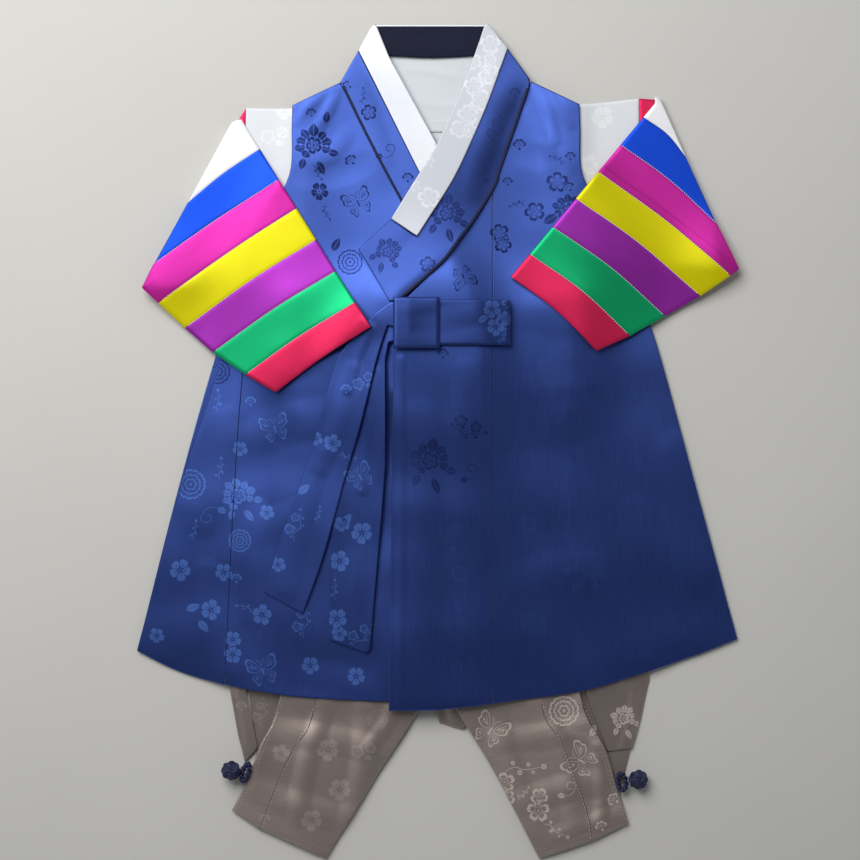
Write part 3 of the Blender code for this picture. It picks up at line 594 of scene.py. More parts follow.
def repeated(outline):
    """The figures of a covered panel: the cloth's repeat, each column dropped by half."""
    low, high = np.min(outline, axis=0), np.max(outline, axis=0)
    rows = []
    for column in range(int(low[0] // REPEAT_SIZE[0]), int(high[0] // REPEAT_SIZE[0]) + 1):
        drop = 0.5 * REPEAT_SIZE[1] * (column % 2)
        for row in range(int(low[1] // REPEAT_SIZE[1]) - 1, int(high[1] // REPEAT_SIZE[1]) + 1):
            rows += [(kind, x + column * REPEAT_SIZE[0], y + row * REPEAT_SIZE[1] + drop, size, turn)
                     for kind, x, y, size, turn in REPEAT]
    return rows


def figures_on(outline, table):
    """The shapes of a table's figures that fall on a panel."""
    if table == "repeat":
        table = repeated(outline)
    centres = np.array([row[1:3] for row in table], float)
    reach = np.array([1.9 * row[3] for row in table])
    near = inside(centres, outline) | (edge_distance(centres, outline) < reach)
    return [shape for row, keep in zip(table, near) if keep for shape in placed(*row)]


# Finishes

SLUB = (2.2, 28.0)    # a slub's width in threads and its length in millimetres
DYE_PATCH = 45.0      # size of the dye's uneven patches
WAVE = 0.314          # scale at which one period of Blender's wave is 1 unit long
FLOATS = 0.5          # how far satin's floats draw out its shine
SATIN = 0.42          # roughness of satin
SATIN_BLUE = 0.43     # and of the coat's own
BLUE_TINT = "#8fa8ff"  # colour of the blue silk's grazing shine
PALE_TINT = "#b4c8ff"


def linear(colour):
    """An sRGB hex colour as linear values."""
    values = [int(colour[k:k + 2], 16) / 255 for k in (1, 3, 5)]
    return tuple(v / 12.92 if v <= 0.04045 else ((v + 0.055) / 1.055) ** 2.4 for v in values) + (1.0,)


def add(tree, kind, values=None, links=None, **settings):
    """A node with its settings, its sockets' values and what feeds them."""
    made = tree.nodes.new(kind)
    for key, value in settings.items():
        setattr(made, key, value)
    for socket, value in (values or {}).items():
        made.inputs[socket].default_value = value
    for socket, source in (links or {}).items():
        tree.links.new(source, made.inputs[socket])
    return made


def woven(name, colour, shade, rough, metallic=0.0, thread=0.7, relief=0.05, sheen=0.05, floats=0.0,
          turned=0.0, tint="#ffffff", shine=0.5):
    """Woven cloth: threads along and across the grain, slubs, and uneven dye.

    The real thread is about 0.15 mm thick, too fine to show, so it is drawn at 0.7 mm. Satin's long floats
    draw its shine out across them, and a figure's floats lie the other way, turned by a quarter.
    """
    made = bpy.data.materials.new(name)
    made.use_nodes = True
    tree = made.node_tree
    shader = tree.nodes["Principled BSDF"]
    grain = add(tree, "ShaderNodeUVMap", uv_map="grain")
    slubs = add(tree, "ShaderNodeMapping", {"Scale": (1 / (SLUB[0] * MM * thread), 1 / (SLUB[1] * MM), 1.0)},
                {"Vector": grain.outputs["UV"]})
    streaks = add(tree, "ShaderNodeTexNoise", {"Scale": 1.0, "Detail": 2.0, "Roughness": 0.6},
                  {"Vector": slubs.outputs["Vector"]})
    patches = add(tree, "ShaderNodeTexNoise",
                  {"Scale": 1 / (DYE_PATCH * MM), "Detail": 3.0, "Roughness": 0.55},
                  {"Vector": grain.outputs["UV"]})
    blend = add(tree, "ShaderNodeMath", {1: 0.35}, {0: streaks.outputs["Fac"]}, operation="MULTIPLY")
    amount = add(tree, "ShaderNodeMath", {1: 0.65},
                 {0: patches.outputs["Fac"], 2: blend.outputs[0]}, operation="MULTIPLY_ADD")
    dye = add(tree, "ShaderNodeMix", links={0: amount.outputs[0]}, data_type="RGBA")
    dye.inputs[6].default_value = linear(shade)
    dye.inputs[7].default_value = linear(colour)
    tree.links.new(dye.outputs[2], shader.inputs["Base Color"])
    gloss = add(tree, "ShaderNodeMapRange", {"To Min": rough - 0.05, "To Max": rough + 0.05},
                {"Value": streaks.outputs["Fac"]})
    tree.links.new(gloss.outputs["Result"], shader.inputs["Roughness"])
    warp, weft = (add(tree, "ShaderNodeTexWave",
                      {"Scale": WAVE / (thread * MM), "Distortion": 0.6, "Detail": 1.0},
                      {"Vector": grain.outputs["UV"]}, bands_direction=way) for way in "XY")
    both = add(tree, "ShaderNodeMath", links={0: warp.outputs["Fac"], 1: weft.outputs["Fac"]},
               operation="MULTIPLY")
    cloth = add(tree, "ShaderNodeMath", {1: 1.4}, {0: streaks.outputs["Fac"], 2: both.outputs[0]},
                operation="MULTIPLY_ADD")
    bump = add(tree, "ShaderNodeBump", {"Strength": 0.35, "Distance": relief * MM},
               {"Height": cloth.outputs[0]})
    tree.links.new(bump.outputs["Normal"], shader.inputs["Normal"])
    looks = {"Metallic": metallic, "Sheen Weight": sheen, "Sheen Roughness": 0.45,
             "Specular IOR Level": shine, "Specular Tint": linear(tint)}
    for socket, value in looks.items():
        shader.inputs[socket].default_value = value
    if floats:
        tangent = add(tree, "ShaderNodeTangent", direction_type="UV_MAP", uv_map="grain")
        tree.links.new(tangent.outputs["Tangent"], shader.inputs["Tangent"])
        shader.inputs["Anisotropic"].default_value = floats
        shader.inputs["Anisotropic Rotation"].default_value = turned
    return made


# Silk damask is a ground of satin whose floats run along the cloth, so that its shine is drawn out across it,
# and figures whose floats run across, so they are duller where the ground shines. The third finish is a
# lighter copy of the figure's, painted light, and the fourth a copy coloured almost as the ground, painted
# sheen.
FINISHES = {
    "blue": (
        woven("silk_damask_ground_royal_blue", "#455dae", "#3b539e", SATIN_BLUE, 0.93, floats=FLOATS,
              tint=BLUE_TINT),
        woven("silk_damask_figure_royal_blue", "#24346e", "#1f2d62", SATIN, 0.8, floats=FLOATS, turned=0.25,
              tint=BLUE_TINT),
        # painted light: a lighter copy of the figure's finish, for the figures low on the left
        woven("silk_damask_figure_blue_painted_light", "#587cd0", "#5174c4", 0.48, 0.9, floats=0.4, tint=PALE_TINT),
        # painted sheen: a copy of the figure's finish coloured almost as the ground, for those low on the
        # right
        woven("silk_damask_figure_blue_painted_sheen", "#3f59a4", "#385098", 0.45, 0.9, floats=0.3, tint=BLUE_TINT),
    ),
    # a darker copy of the same silk for the over collar, the knot and the loop: painted shade, where they
    # catch less of the window
    "blue_painted_shade": (
        woven("silk_damask_ground_blue_painted_shade", "#3a4f96", "#324688", SATIN_BLUE, 0.93, floats=FLOATS,
              tint=BLUE_TINT),
        woven("silk_damask_figure_blue_painted_shade", "#222f68", "#1c2858", SATIN, 0.8, floats=FLOATS,
              turned=0.25, tint=BLUE_TINT),
        woven("silk_damask_figure_blue_painted_shade_and_light", "#4c6cbc", "#4463ae", 0.48, 0.9, floats=0.4,
              tint=PALE_TINT),
    ),
    "taupe": (
        woven("silk_damask_ground_taupe", "#b8aaa4", "#aa9c96", 0.39, 0.75, floats=0.45, tint="#fff4ef"),
        woven("silk_damask_figure_taupe", "#d2c6bf", "#c6bab3", 0.5, 0.45, floats=0.3),
        woven("silk_damask_figure_taupe_faint", "#beb1ab", "#b1a49e", 0.45, 0.68, floats=0.3),
    ),
    # a greyer copy of the white silk for the over strip: painted shade, as it catches less light than the
    # under strip
    "white_painted_shade": (
        woven("silk_damask_ground_white_painted_shade", "#ccd0d9", "#c4c8d2", 0.45, 0.08),
        woven("silk_damask_figure_white_painted_shade", "#dcdfe7", "#d5d8e1", SATIN, 0.08),
    ),
    "white_soft": (
        woven("silk_damask_ground_white_sleeve", "#e4e7ec", "#dce0e6", 0.5),
        woven("silk_damask_figure_white_sleeve", "#eff1f4", "#e9ecf0", SATIN),
    ),
    "white": (
        woven("silk_damask_ground_white", "#dfe2ea", "#d6dae3", SATIN, 0.3, floats=FLOATS),
        woven("silk_damask_figure_white", "#eff0f5", "#e9ebf0", SATIN, 0.15, floats=FLOATS, turned=0.25),
    ),
    # plain weave: matt, with its threads just showing
    "lining": (woven("plain_woven_lining_white", "#dbe2e7", "#cfd7dc", 0.65, thread=0.8, shine=0.3),),
    "navy": (woven("satin_facing_navy", "#151a33", "#10142a", 0.6, floats=FLOATS, shine=0.12, sheen=0.0),),
    "cord_navy": (woven("braided_cord_navy", "#1c2150", "#141838", 0.55, 0.1, thread=0.9, relief=0.2),),
    "thread_white": (woven("cotton_thread_white", "#f2f2ee", "#e4e4df", 0.6),),
    "thread_taupe": (woven("cotton_thread_taupe", "#b5aba4", "#a59b94", 0.6),),
}
# Satin stripes, whose long floats run down each stripe: colour, shade, metallic part, tint of the shine
STRIPES = {
    "red": ("#d82858", "#ca2250", 0.5, "#ff9cb4"),
    "blue": ("#144cd8", "#1042c8", 0.45, "#8cb2ff"),
    "magenta": ("#cc2ca2", "#be2494", 0.45, "#ffa0ea"),
    "yellow": ("#e2da0c", "#d8d008", 0.3, "#fff6a0"),
    "purple": ("#a234b2", "#962ca4", 0.55, "#e6a0ff"),
    "green": ("#14b072", "#10a266", 0.55, "#90ffcc"),
    "white": ("#f2f3f7", "#e9eaef", 0.2, "#ffffff"),
}
for stripe, (dyed, darker, part, glint) in STRIPES.items():
    FINISHES["stripe_" + stripe] = (
        woven("polyester_satin_" + stripe, dyed, darker, SATIN, part, floats=FLOATS, tint=glint),)


# Pieces of cloth

EDGE_RINGS = (0.3 * ROLL, ROLL)   # how far in from an edge its rows of points lie
FIGURE_CELL = 0.9     # the fill leaves out a point in the same cell, this wide, as a figure's edge
UNDERSIDE = 1.9       # how much coarser the underside is
SEAM_HOLD = 0.72      # how much of a rounded edge's depth a seam keeps up
DELAUNAY_GAP = 0.002  # points closer than this are one
SEAM_DIP = 0.9        # how far from a stripe's seam its dip reaches
TURN_DOWN = 9.0       # how far from its outer fold a stripe bends down to the one below
STITCH = (0.35, 1.0, 1.0, 0.35)   # a stitch's radius along it, as shares of its own


def build(name, points, faces, marks, finish, grain=0.0, uv=None):
    """A smooth mesh in millimetres as an object, with its grain laid out in metres."""
    mesh = bpy.data.meshes.new(name)
    mesh.from_pydata((np.asarray(points) * MM).tolist(), [], faces)
    for material in FINISHES[finish]:
        mesh.materials.append(material)
    if marks is not None:
        mesh.polygons.foreach_set("material_index", np.asarray(marks, np.int32))
    mesh.shade_smooth()
    layer = mesh.uv_layers.new(name="grain")
    flat = np.asarray(points)[:, :2] if uv is None else np.asarray(uv)
    c, s = math.cos(math.radians(grain)), math.sin(math.radians(grain))
    turned = flat @ np.array([[c, -s], [s, c]]) * MM
    index = np.zeros(len(mesh.loops), np.int32)
    mesh.loops.foreach_get("vertex_index", index)
    layer.data.foreach_set("uv", turned[index].ravel())
    mesh.validate()
    piece = bpy.data.objects.new(name, mesh)
    bpy.context.scene.collection.objects.link(piece)
    return piece


def hand_over(piece, nodes):
    """Ride on the garment and stand for its solids."""
    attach(piece, "root")
    if nodes:
        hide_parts(*nodes)


def filled(edge, inner, shapes=(), finishes=()):
    """Triangles over an outline: points, triangles, the finish of each, and which points are its edge."""
    points = [Vector(p) for p in edge]
    faces = [list(range(len(edge)))]
    for shape in map(anticlockwise, shapes):
        faces.append(list(range(len(points), len(points) + len(shape))))
        points += [Vector(p) for p in shape]
    points += [Vector(p) for p in inner]
    found, _, triangles, origins, _, owners = delaunay_2d_cdt(points, [], faces, 1, DELAUNAY_GAP)
    kept = [(tuple(t), 0 if len(o) % 2 else finishes[min(f for f in o if f) - 1])
            for t, o in zip(triangles, owners) if 0 in o]
    return np.array([tuple(p) for p in found]), [t for t, _ in kept], [m for _, m in kept], origins


def renumbered(faces):
    """The points that faces use, in order, and the faces counted by them."""
    used = sorted({v for face in faces for v in face})
    number = {v: k for k, v in enumerate(used)}
    return used, [tuple(number[v] for v in face) for face in faces]


def rim(triangles):
    """The closed line of points around a triangulated outline, in order."""
    steps = {(t[k], t[(k + 1) % 3]) for t in triangles for k in range(3)}
    following = {a: b for a, b in steps if (b, a) not in steps}
    start = next(iter(following))
    line = [start]
    while following[line[-1]] != start:
        line.append(following[line[-1]])
    return line


def even_fill(outline, spacing, margin):
    """Rows of points inside an outline, each row offset by half a step."""
    low, high = np.min(outline, axis=0), np.max(outline, axis=0)
    rows = []
    for k, y in enumerate(np.arange(low[1], high[1], 0.866 * spacing)):
        x = np.arange(low[0] + 0.5 * spacing * (k % 2), high[0], spacing)
        rows.append(np.stack([x, np.full(len(x), y)], axis=1))
    points = np.concatenate(rows)
    points = points[inside(points, outline)]
    return points[edge_distance(points, outline) > margin]


def smooth_shading(piece, chosen, field):
    """Shade chosen points by the slope on which the cloth lies, so that no figure's fine triangles show."""
    mesh = piece.data
    normals = np.zeros(3 * len(mesh.vertices))
    mesh.vertices.foreach_get("normal", normals)
    places = np.zeros(3 * len(mesh.vertices))
    mesh.vertices.foreach_get("co", places)
    normals, places = normals.reshape(-1, 3), places.reshape(-1, 3)[:, :2] / MM
    slope = [(PILE.at(field, places + step) - PILE.at(field, places - step)) / (2 * GRID)
             for step in (np.array((GRID, 0.0)), np.array((0.0, GRID)))]
    smooth = np.stack([-slope[0], -slope[1], np.ones(len(places))], axis=1)
    smooth /= np.linalg.norm(smooth, axis=1)[:, None]
    normals[chosen] = smooth[chosen]
    mesh.normals_split_custom_set_from_vertices(normals.tolist())


def cloth_panel(node, outline, finish, field, thick, spacing=FINE, tables=(), grain=0.0, seams=()):
    """A cut panel lying on a height field: a shell with rounded edges, its figures woven into its top.

    The first table's figures take the cloth's second finish, the second table's its third, and so on. Along
    a seam the edge is held up by its neighbour, so it only dips there.
    """
    outline = anticlockwise(outline)
    edge = even_edge(outline, spacing)
    run = np.roll(edge, -1, axis=0) - np.roll(edge, 1, axis=0)
    inward = np.stack([-run[:, 1], run[:, 0]], axis=1) / np.maximum(np.hypot(*run.T), 1e-6)[:, None]
    rings = [edge + inward * depth for depth in EDGE_RINGS]
    rings = np.concatenate([r[(edge_distance(r, outline) > 0.25 * ROLL) & inside(r, outline)] for r in rings])
    shapes, finishes = [], []
    for number, table in enumerate(tables, 1):
        found = figures_on(outline, table) if len(table) else []
        shapes += found
        finishes += [number] * len(found)
    inner = even_fill(outline, spacing, ROLL + 0.45 * spacing)
    if shapes:
        taken = {tuple(c) for c in np.round(np.concatenate(shapes) / FIGURE_CELL).astype(int)}
        inner = np.array([p for p in inner if tuple(np.round(p / FIGURE_CELL).astype(int)) not in taken])
    points, triangles, marks, _ = filled(edge, np.concatenate([rings, inner]), shapes, finishes)
    used, triangles = renumbered(triangles)
    points = points[used]
    line = rim(triangles)
    depth = np.minimum(edge_distance(points, outline) / ROLL, 1.0)
    depth[line] = 0.0
    for seam in seams:
        near = edge_distance(points, seam, False) < 1.1 * ROLL
        depth = np.where(near, np.maximum(depth, SEAM_HOLD), depth)
    height = PILE.at(field, points) + thick * (0.5 + 0.5 * np.sqrt(1 - (1 - depth) ** 2))
    below = even_fill(outline, UNDERSIDE * spacing, 1.5 * spacing)
    low, under, _, origins = filled(points[line], below)
    match = [line[first] if first < len(line) else len(points) + k
             for k, first in enumerate(min(o) if o else len(line) for o in origins)]
    low_height = PILE.at(field, low)
    everything = np.concatenate([np.column_stack([points, height]), np.column_stack([low, low_height])])
    faces = triangles + [tuple(match[v] for v in reversed(t)) for t in under]
    marks = marks + [0] * len(under) if len(FINISHES[finish]) > 1 else None
    used, faces = renumbered(faces)
    piece = build("cloth_" + node, everything[used], faces, marks, finish, grain)
    smooth_shading(piece, np.array([v < len(points) and depth[v] > 0.99 for v in used]), field)
    return piece


def lay(panels, finish, field, thick=SILK, spacing=FINE, tables=(), grain=0.0, seams=()):
    """Lay panels that meet at seams side by side on the pile."""
    for node, outline in panels:
        piece = cloth_panel(node, outline, finish, field, thick, spacing, tables, grain, seams)
        hand_over(piece, [node])
    for _, outline in panels:
        PILE.add(outline, field, thick)


def ring_of_cloth(node, rows, field, finish, hollow=SLEEVE_AIR, roll=2.6, reach_down=None,
                  dent=0.28, table=(), number=1):
    """A flattened ring, such as a sleeve's stripe, rolled over at both of its folded edges.

    Each row runs across it from fold to fold, and the rows go from one seam to the other. Each small face
    whose middle is on a figure takes the finish of that number.
    """
    rows = np.array(rows, float)
    count = rows.shape[1]
    full = 2 * PLY + hollow
    floor = PILE.at(field, rows)
    run = np.zeros(rows.shape[:2])
    run[:, 1:] = np.cumsum(np.hypot(*np.moveaxis(np.diff(rows, axis=1), -1, 0)), axis=1)
    length = run[:, -1:]
    cross = np.zeros(len(rows))
    cross[1:] = np.cumsum(np.hypot(*np.diff(rows[:, count // 2], axis=0).T))
    to_seam = np.minimum(cross, cross[-1] - cross)[:, None]
    sewn = 1 - dent * np.exp(-(to_seam / SEAM_DIP) ** 2)
    from_edge = np.minimum(run, length - run)
    low, high = floor, floor + full
    if reach_down is not None:
        near = np.clip(1 - (length - run) / TURN_DOWN, 0, 1)
        low = floor * (1 - near ** 2) + np.minimum(reach_down, floor) * near ** 2
    middle = 0.5 * (low + high)
    half = 0.5 * (high - low) * sewn
    rolled = np.maximum(roll, half)

    def ply(sign):
        share = np.clip(from_edge / rolled, 0, 1)
        return middle + sign * half * np.sqrt(1 - (1 - share) ** 2)

    def loops(places, below, above):
        return np.concatenate([np.dstack([places, below]), np.dstack([places, above])[:, ::-1]], axis=1)

    outer = loops(rows, ply(-1), ply(1))
    inset = PLY / length
    shares = inset + (1 - 2 * inset) * run / length
    inner_xy = np.stack([along(row, share) for row, share in zip(rows, shares)])
    thin = np.maximum(1 - PLY / np.maximum(half, 1.0), 0.25)
    inner = loops(inner_xy, middle + (ply(-1) - middle) * thin, middle + (ply(1) - middle) * thin)
    around = 2 * count
    points = np.concatenate([outer.reshape(-1, 3), inner.reshape(-1, 3)])
    shift = len(rows) * around
    faces = []
    for i in range(len(rows) - 1):
        for k in range(around):
            n = (k + 1) % around
            a, b, c, d = i * around + k, i * around + n, (i + 1) * around + n, (i + 1) * around + k
            faces += [(a, b, c, d), (shift + d, shift + c, shift + b, shift + a)]
    for i, flip in ((0, 1), (len(rows) - 1, -1)):
        for k in range(around):
            n = (k + 1) % around
            quad = (i * around + k, shift + i * around + k, shift + i * around + n, i * around + n)
            faces.append(quad[::flip])
    lay_flat = np.concatenate([run, 2 * length - run[:, ::-1]], axis=1)
    uv = np.dstack([np.broadcast_to(cross[:, None], lay_flat.shape), lay_flat]).reshape(-1, 2)
    if np.cross(rows[-1, 0] - rows[0, 0], rows[0, -1] - rows[0, 0]) > 0:
        faces = [f[::-1] for f in faces]
    marks = None
    if len(table):
        middles = np.array([points[list(f), :2].mean(axis=0) for f in faces])
        marks = np.zeros(len(faces), bool)
        for shape in figures_on(np.concatenate([rows[0], rows[-1][::-1]]), table):
            marks ^= inside(middles, shape)
        marks = marks * number
    piece = build("cloth_" + node, points, faces, marks, finish, uv=np.concatenate([uv, uv]))
    hand_over(piece, [node])


def thread_run(name, line, field, above, finish, slot, stitch=2.6, space=1.4, radius=0.28, sides=5):
    """A row of stitches lying on the cloth along a line."""
    total = length_of(line)
    count = max(int(total / (stitch + space)), 1)
    points, faces = [], []
    for k in range(count):
        shares = (k * (stitch + space) + stitch * np.linspace(0, 1, len(STITCH))) / total
        spots = along(line, np.clip(shares, 0, 1))
        heads = spots[-1] - spots[0]
        heads = heads / max(np.hypot(*heads), 1e-6)
        side = np.array((-heads[1], heads[0]))
        heights = PILE.at(field, spots) + above
        first = len(points)
        for spot, height, part in zip(spots, heights, STITCH):
            for s in range(sides):
                turn = 2 * math.pi * s / sides
                flat = spot + side * radius * part * math.cos(turn)
                points.append((flat[0], flat[1], height + radius * part * (0.3 + math.sin(turn))))
        for ring in range(len(STITCH) - 1):
            for s in range(sides):
                n = (s + 1) % sides
                a, b = first + ring * sides + s, first + ring * sides + n
                faces.append((a, b, b + sides, a + sides))
        faces.append(tuple(first + s for s in reversed(range(sides))))
        faces.append(tuple(first + (len(STITCH) - 1) * sides + s for s in range(sides)))
    hand_over(build(name, points, faces, None, finish), [])


def cord_line(points, radius, sides=8):
    """A round cord's points and faces along a 3-D line."""
    line = np.array(points, float)
    run = np.gradient(line, axis=0)
    run /= np.linalg.norm(run, axis=1)[:, None]
    side = np.cross(run, (0.0, 0.0, 1.0))
    side /= np.maximum(np.linalg.norm(side, axis=1), 1e-6)[:, None]
    up = np.cross(side, run)
    turns = np.linspace(0, 2 * np.pi, sides, endpoint=False)
    tube = line[:, None] + radius * (np.cos(turns)[None, :, None] * side[:, None]
                                     + np.sin(turns)[None, :, None] * up[:, None])
    faces = []
    for i in range(len(line) - 1):
        for k in range(sides):
            n = (k + 1) % sides
            faces.append((i * sides + k, i * sides + n, (i + 1) * sides + n, (i + 1) * sides + k))
    faces.append(tuple(reversed(range(sides))))
    faces.append(tuple((len(line) - 1) * sides + k for k in range(sides)))
    return tube.reshape(-1, 3), faces


def joined(parts):
    """Several meshes' points and faces as one."""
    points, faces, first = [], [], 0
    for some, corners in parts:
        points.append(some)
        faces += [tuple(first + v for v in face) for face in corners]
        first += len(some)
    return np.concatenate(points), faces


# How cloth falls over a step: the cells it is rounded over, and the rounds that bridge the hollow beside it
PIPING_FALL = (1, 6)
BAND_FALL = (2, 8)
CLOSE_FALL = (3, 20)
LEG_FALL = (4, 60)
TURNED_FALL = (4, 170)
TAIL_FALL = (6, 90)
FRONT_FALL = (11, 110)
COLLAR_FALL = (5, 700)
LOOP_FALL = (4, 300)
KNOT_FALL = (3, 300)

# Rows of stitches: a stitch's length, the space after it and its radius
SEAM_STITCH = (1.7, 0.5, 0.3)
CUFF_STITCH = (2.0, 1.6, 0.22)
EDGE_STITCH = (2.4, 1.1, 0.25)
LEG_SEAM_STITCH = (2.8, 0.5, 0.4)
HEM_STITCH = (2.0, 1.8, 0.17)

# The coat's right armhole
ARMHOLE = spline([(SHOULDER_X + 0.5, 270), (ARMHOLE_X, ARMHOLE_Y), (UNDERARM_X, UNDERARM_Y)], 6)


# The garments, in the order in which they are laid

def coat_back():
    """The overcoat's back, flat on the surface."""
    right = [(NECK_X, NECK_Y), (SHOULDER_X, SHOULDER_Y)] + ARMHOLE
    right += spline([(UNDERARM_X + 2, UNDERARM_Y - 4), (186, 80), (220, -40), (HEM_SIDE_X - 4, HEM_SIDE_Y)])
    hem = spline([(214, -179), (120, -204), (0, HEM_MIDDLE_Y + 4)])
    half = spline([(0.0, 322.0), (28, 325), (50.0, 330.0)], 4)[1:] + right + hem
    outline = half + mirror(half[:-1]) + [(0.0, 322.0)]
    lay([("vest_back", outline)], "blue", PILE.rest(), COAT_SILK, HALF_SEEN,
        ("repeat",))


def jacket_back():
    """The white jacket's back, its inside showing at the neck."""
    half = [(44, 331), (NECK_X - 3, NECK_Y - 3), (SHOULDER_X - 2, SHOULDER_Y - 3)]
    half += [(SHOULDER_X - 1, 170), (132, JACKET_HEM_Y + 8), (60, JACKET_HEM_Y)]
    field = PILE.rest(slack=0.8, phase=2.0, folds=[((-24, 318), (22, 309), 5.0, 0.7, 2.0),
                                                  ((-20, 292), (24, 286), 6.0, 0.5, -2.0)])
    lay([("jacket_back", half + mirror(half))], "lining", field, spacing=HALF_SEEN)


# Rows of stitches on the neck band: how far up, a stitch's length, the space after it and its radius
BAND_STITCHES = ((272.4, 0.9, 1.3, 0.32), (269.2, 0.5, 1.7, 0.32), (265.6, 1.4, 1.0, 0.32))


def neck_back():
    """The white strip's edge, the dark facing and the stitched neck band, at the back of the neck."""
    behind = [(-52, COLLAR_TOP_Y + 1.3), (43, COLLAR_TOP_Y + 1.3), (34, 329), (-41, 329)]
    lay([("strip_back", behind)], "white", PILE.rest())
    facing = [(-51, COLLAR_TOP_Y - 0.5), (42, COLLAR_TOP_Y - 0.5)]
    facing += spline([(33, 328.5), (-4, 327.0), (-40, 328.5)], 6)
    field = PILE.rest(slack=0.6, phase=1.0, folds=[((-40, 343), (34, 345), 6.0, 0.6, 1.0)])
    lay([("neck_facing", facing)], "navy", field)
    band = [(-16, 274), (16, 274), (9, 264), (-9, 264)]
    field = PILE.rest(*BAND_FALL)
    lay([("jacket_neck_band", band)], "lining", field, 0.7, 1.6)
    for k, (y, *stitch) in enumerate(BAND_STITCHES):
        half = 14.0 - 0.7 * (274 - y)
        thread_run(f"band_stitches_{k}", [(-half, y), (half, y)], field, 0.7, "thread_white", "jacket_white",
                   *stitch)


LEFT_LOWER = (
    ("head", "white_soft", "sleeve_white", (-119, 284), (-162, 285), (-166, 152), (-123, 172)),
    ("inner_red", "stripe_red", "stripe_red", (-162, 285), (-175, 264), (-181, 146), (-166, 152)),
    ("lower_white", "stripe_white", "sleeve_white", (-175, 264), (-206, 203), (-211, 136), (-181, 146)),
    ("lower_blue", "stripe_blue", "stripe_blue", (-206, 203), (-233, 153), (-235, 133), (-211, 136)),
)
RIGHT_LOWER = (
    ("head", "white_soft", "sleeve_white", (120, 287), (173, 293), (175, 160), (126, 178)),
    ("inner_red", "stripe_red", "stripe_red", (173, 293), (187, 292), (190, 155), (175, 160)),
    ("lower_white", "stripe_white", "sleeve_white", (187, 292), (208, 243), (212, 153), (190, 155)),
    ("lower_blue", "stripe_blue", "stripe_blue", (208, 243), (232, 188), (236, 150), (212, 153)),
)
# Each turned sleeve: its inner fold's ends, the widths of its stripes there, the points of its outer fold,
# its corner, how far its seams bow, the phase of its swell, and where it stands up: centre, reach, height
LEFT_SLEEVE = {
    "fold_start": (-165.8, 274.8),
    "fold_end": (-54.8, 96.9),
    "widths": (29.5, STRIPE, 28.5, STRIPE, STRIPE, STRIPE, CUFF),
    "outer": ((-177, 267), (-212, 203), (-240, 151), (-236, 118), (-214, 97), (-190, 76), (-162, 57),
              (-136, 42)),
    "corner": (-250, 131),
    "bow": -2.0,
    "phase": 1.4,
    "lift": (((-238, 133), 44.0, 6.0), ((-140, 52), 34.0, 1.5)),
}
RIGHT_SLEEVE = {
    "fold_start": (187.0, 289.0),
    "fold_end": (63.2, 140.0),
    "widths": (16.0, STRIPE - 1, STRIPE - 1, 29.5, STRIPE - 0.5, 29.5, CUFF),
    "outer": ((191, 293), (213, 242), (239, 185), (250, 141), (225, 124), (195, 107), (165, 90), (136, 77)),
    "corner": (257.5, 147),
    "bow": 3.5,
    "phase": 2.9,
    "lift": (((250, 148), 42.0, 8.0), ((138, 84), 34.0, 2.0)),
}
TURNED = (("white", "stripe_white", "sleeve_white"), ("blue", "stripe_blue", "stripe_blue"),
          ("magenta", "stripe_magenta", "stripe_magenta"), ("yellow", "stripe_yellow", "stripe_yellow"),
          ("purple", "stripe_purple", "stripe_purple"), ("green", "stripe_green", "stripe_green"),
          ("cuff", "stripe_red", "stripe_red"))
CORNER_STRIPE = 2     # the stripe in which the sleeve's outer corner is
# the stitches between the stripes stand partly as a painted highlight along each seam
SEAM_THREAD = 2 * PLY + 0.86   # height of the stitches sunk between two stripes
CUFF_THREAD = 2 * PLY + 1.0
# Shares of a stripe's length at which its rows have points, close at its two folds
ACROSS = 0.5 - 0.5 * np.cos(np.pi * np.linspace(0, 1, 34))
ACROSS_FINE = np.unique(np.concatenate([ACROSS, np.linspace(0, 1, 120)]))
# Shares of its width at which it has rows close beside its seams
BESIDE_SEAMS = {0.012, 0.035, 0.965, 0.988}


def stripe_rows(edge_a, edge_b, outer, count=12, keep=(), across=ACROSS):
    """Rows of a stripe between its two seams, whose far ends follow the sleeve's outer edge."""
    shares = sorted(set(np.linspace(0, 1, count).tolist()) | set(keep) | BESIDE_SEAMS)
    near, far = along(edge_a, across), along(edge_b, across)
    width = np.maximum(np.hypot(*(far - near).T), 1.0)[:, None]
    rows = []
    for share in shares:
        part = np.clip(share, SEAM_HALF / width, 1 - SEAM_HALF / width)
        bulge = along(outer, part[-1]) - (near[-1] + part[-1] * (far[-1] - near[-1]))
        rows.append(near + part * (far - near) + across[:, None] ** 3 * bulge)
    return rows


def lower_sleeve(side, table, phase):
    """The sleeve from the armhole to where it turns back."""
    field = PILE.rest(*CLOSE_FALL, slack=0.9, phase=phase)
    for name, finish, slot, top_near, top_far, low_far, low_near in table:
        head = name == "head"
        rows = stripe_rows([top_near, low_near], [top_far, low_far], [low_near, low_far],
                           60 if head else 12, across=ACROSS_FINE if head else ACROSS)
        ring_of_cloth(f"sleeve_{name}_{side}", rows, field, finish,
                      table=WHITE_FIGURES if head else ())
    hull = [table[0][3]] + [row[4] for row in table] + [row[5] for row in table[::-1]] + [table[0][6]]
    PILE.add(hull, field, 2 * PLY + SLEEVE_AIR)


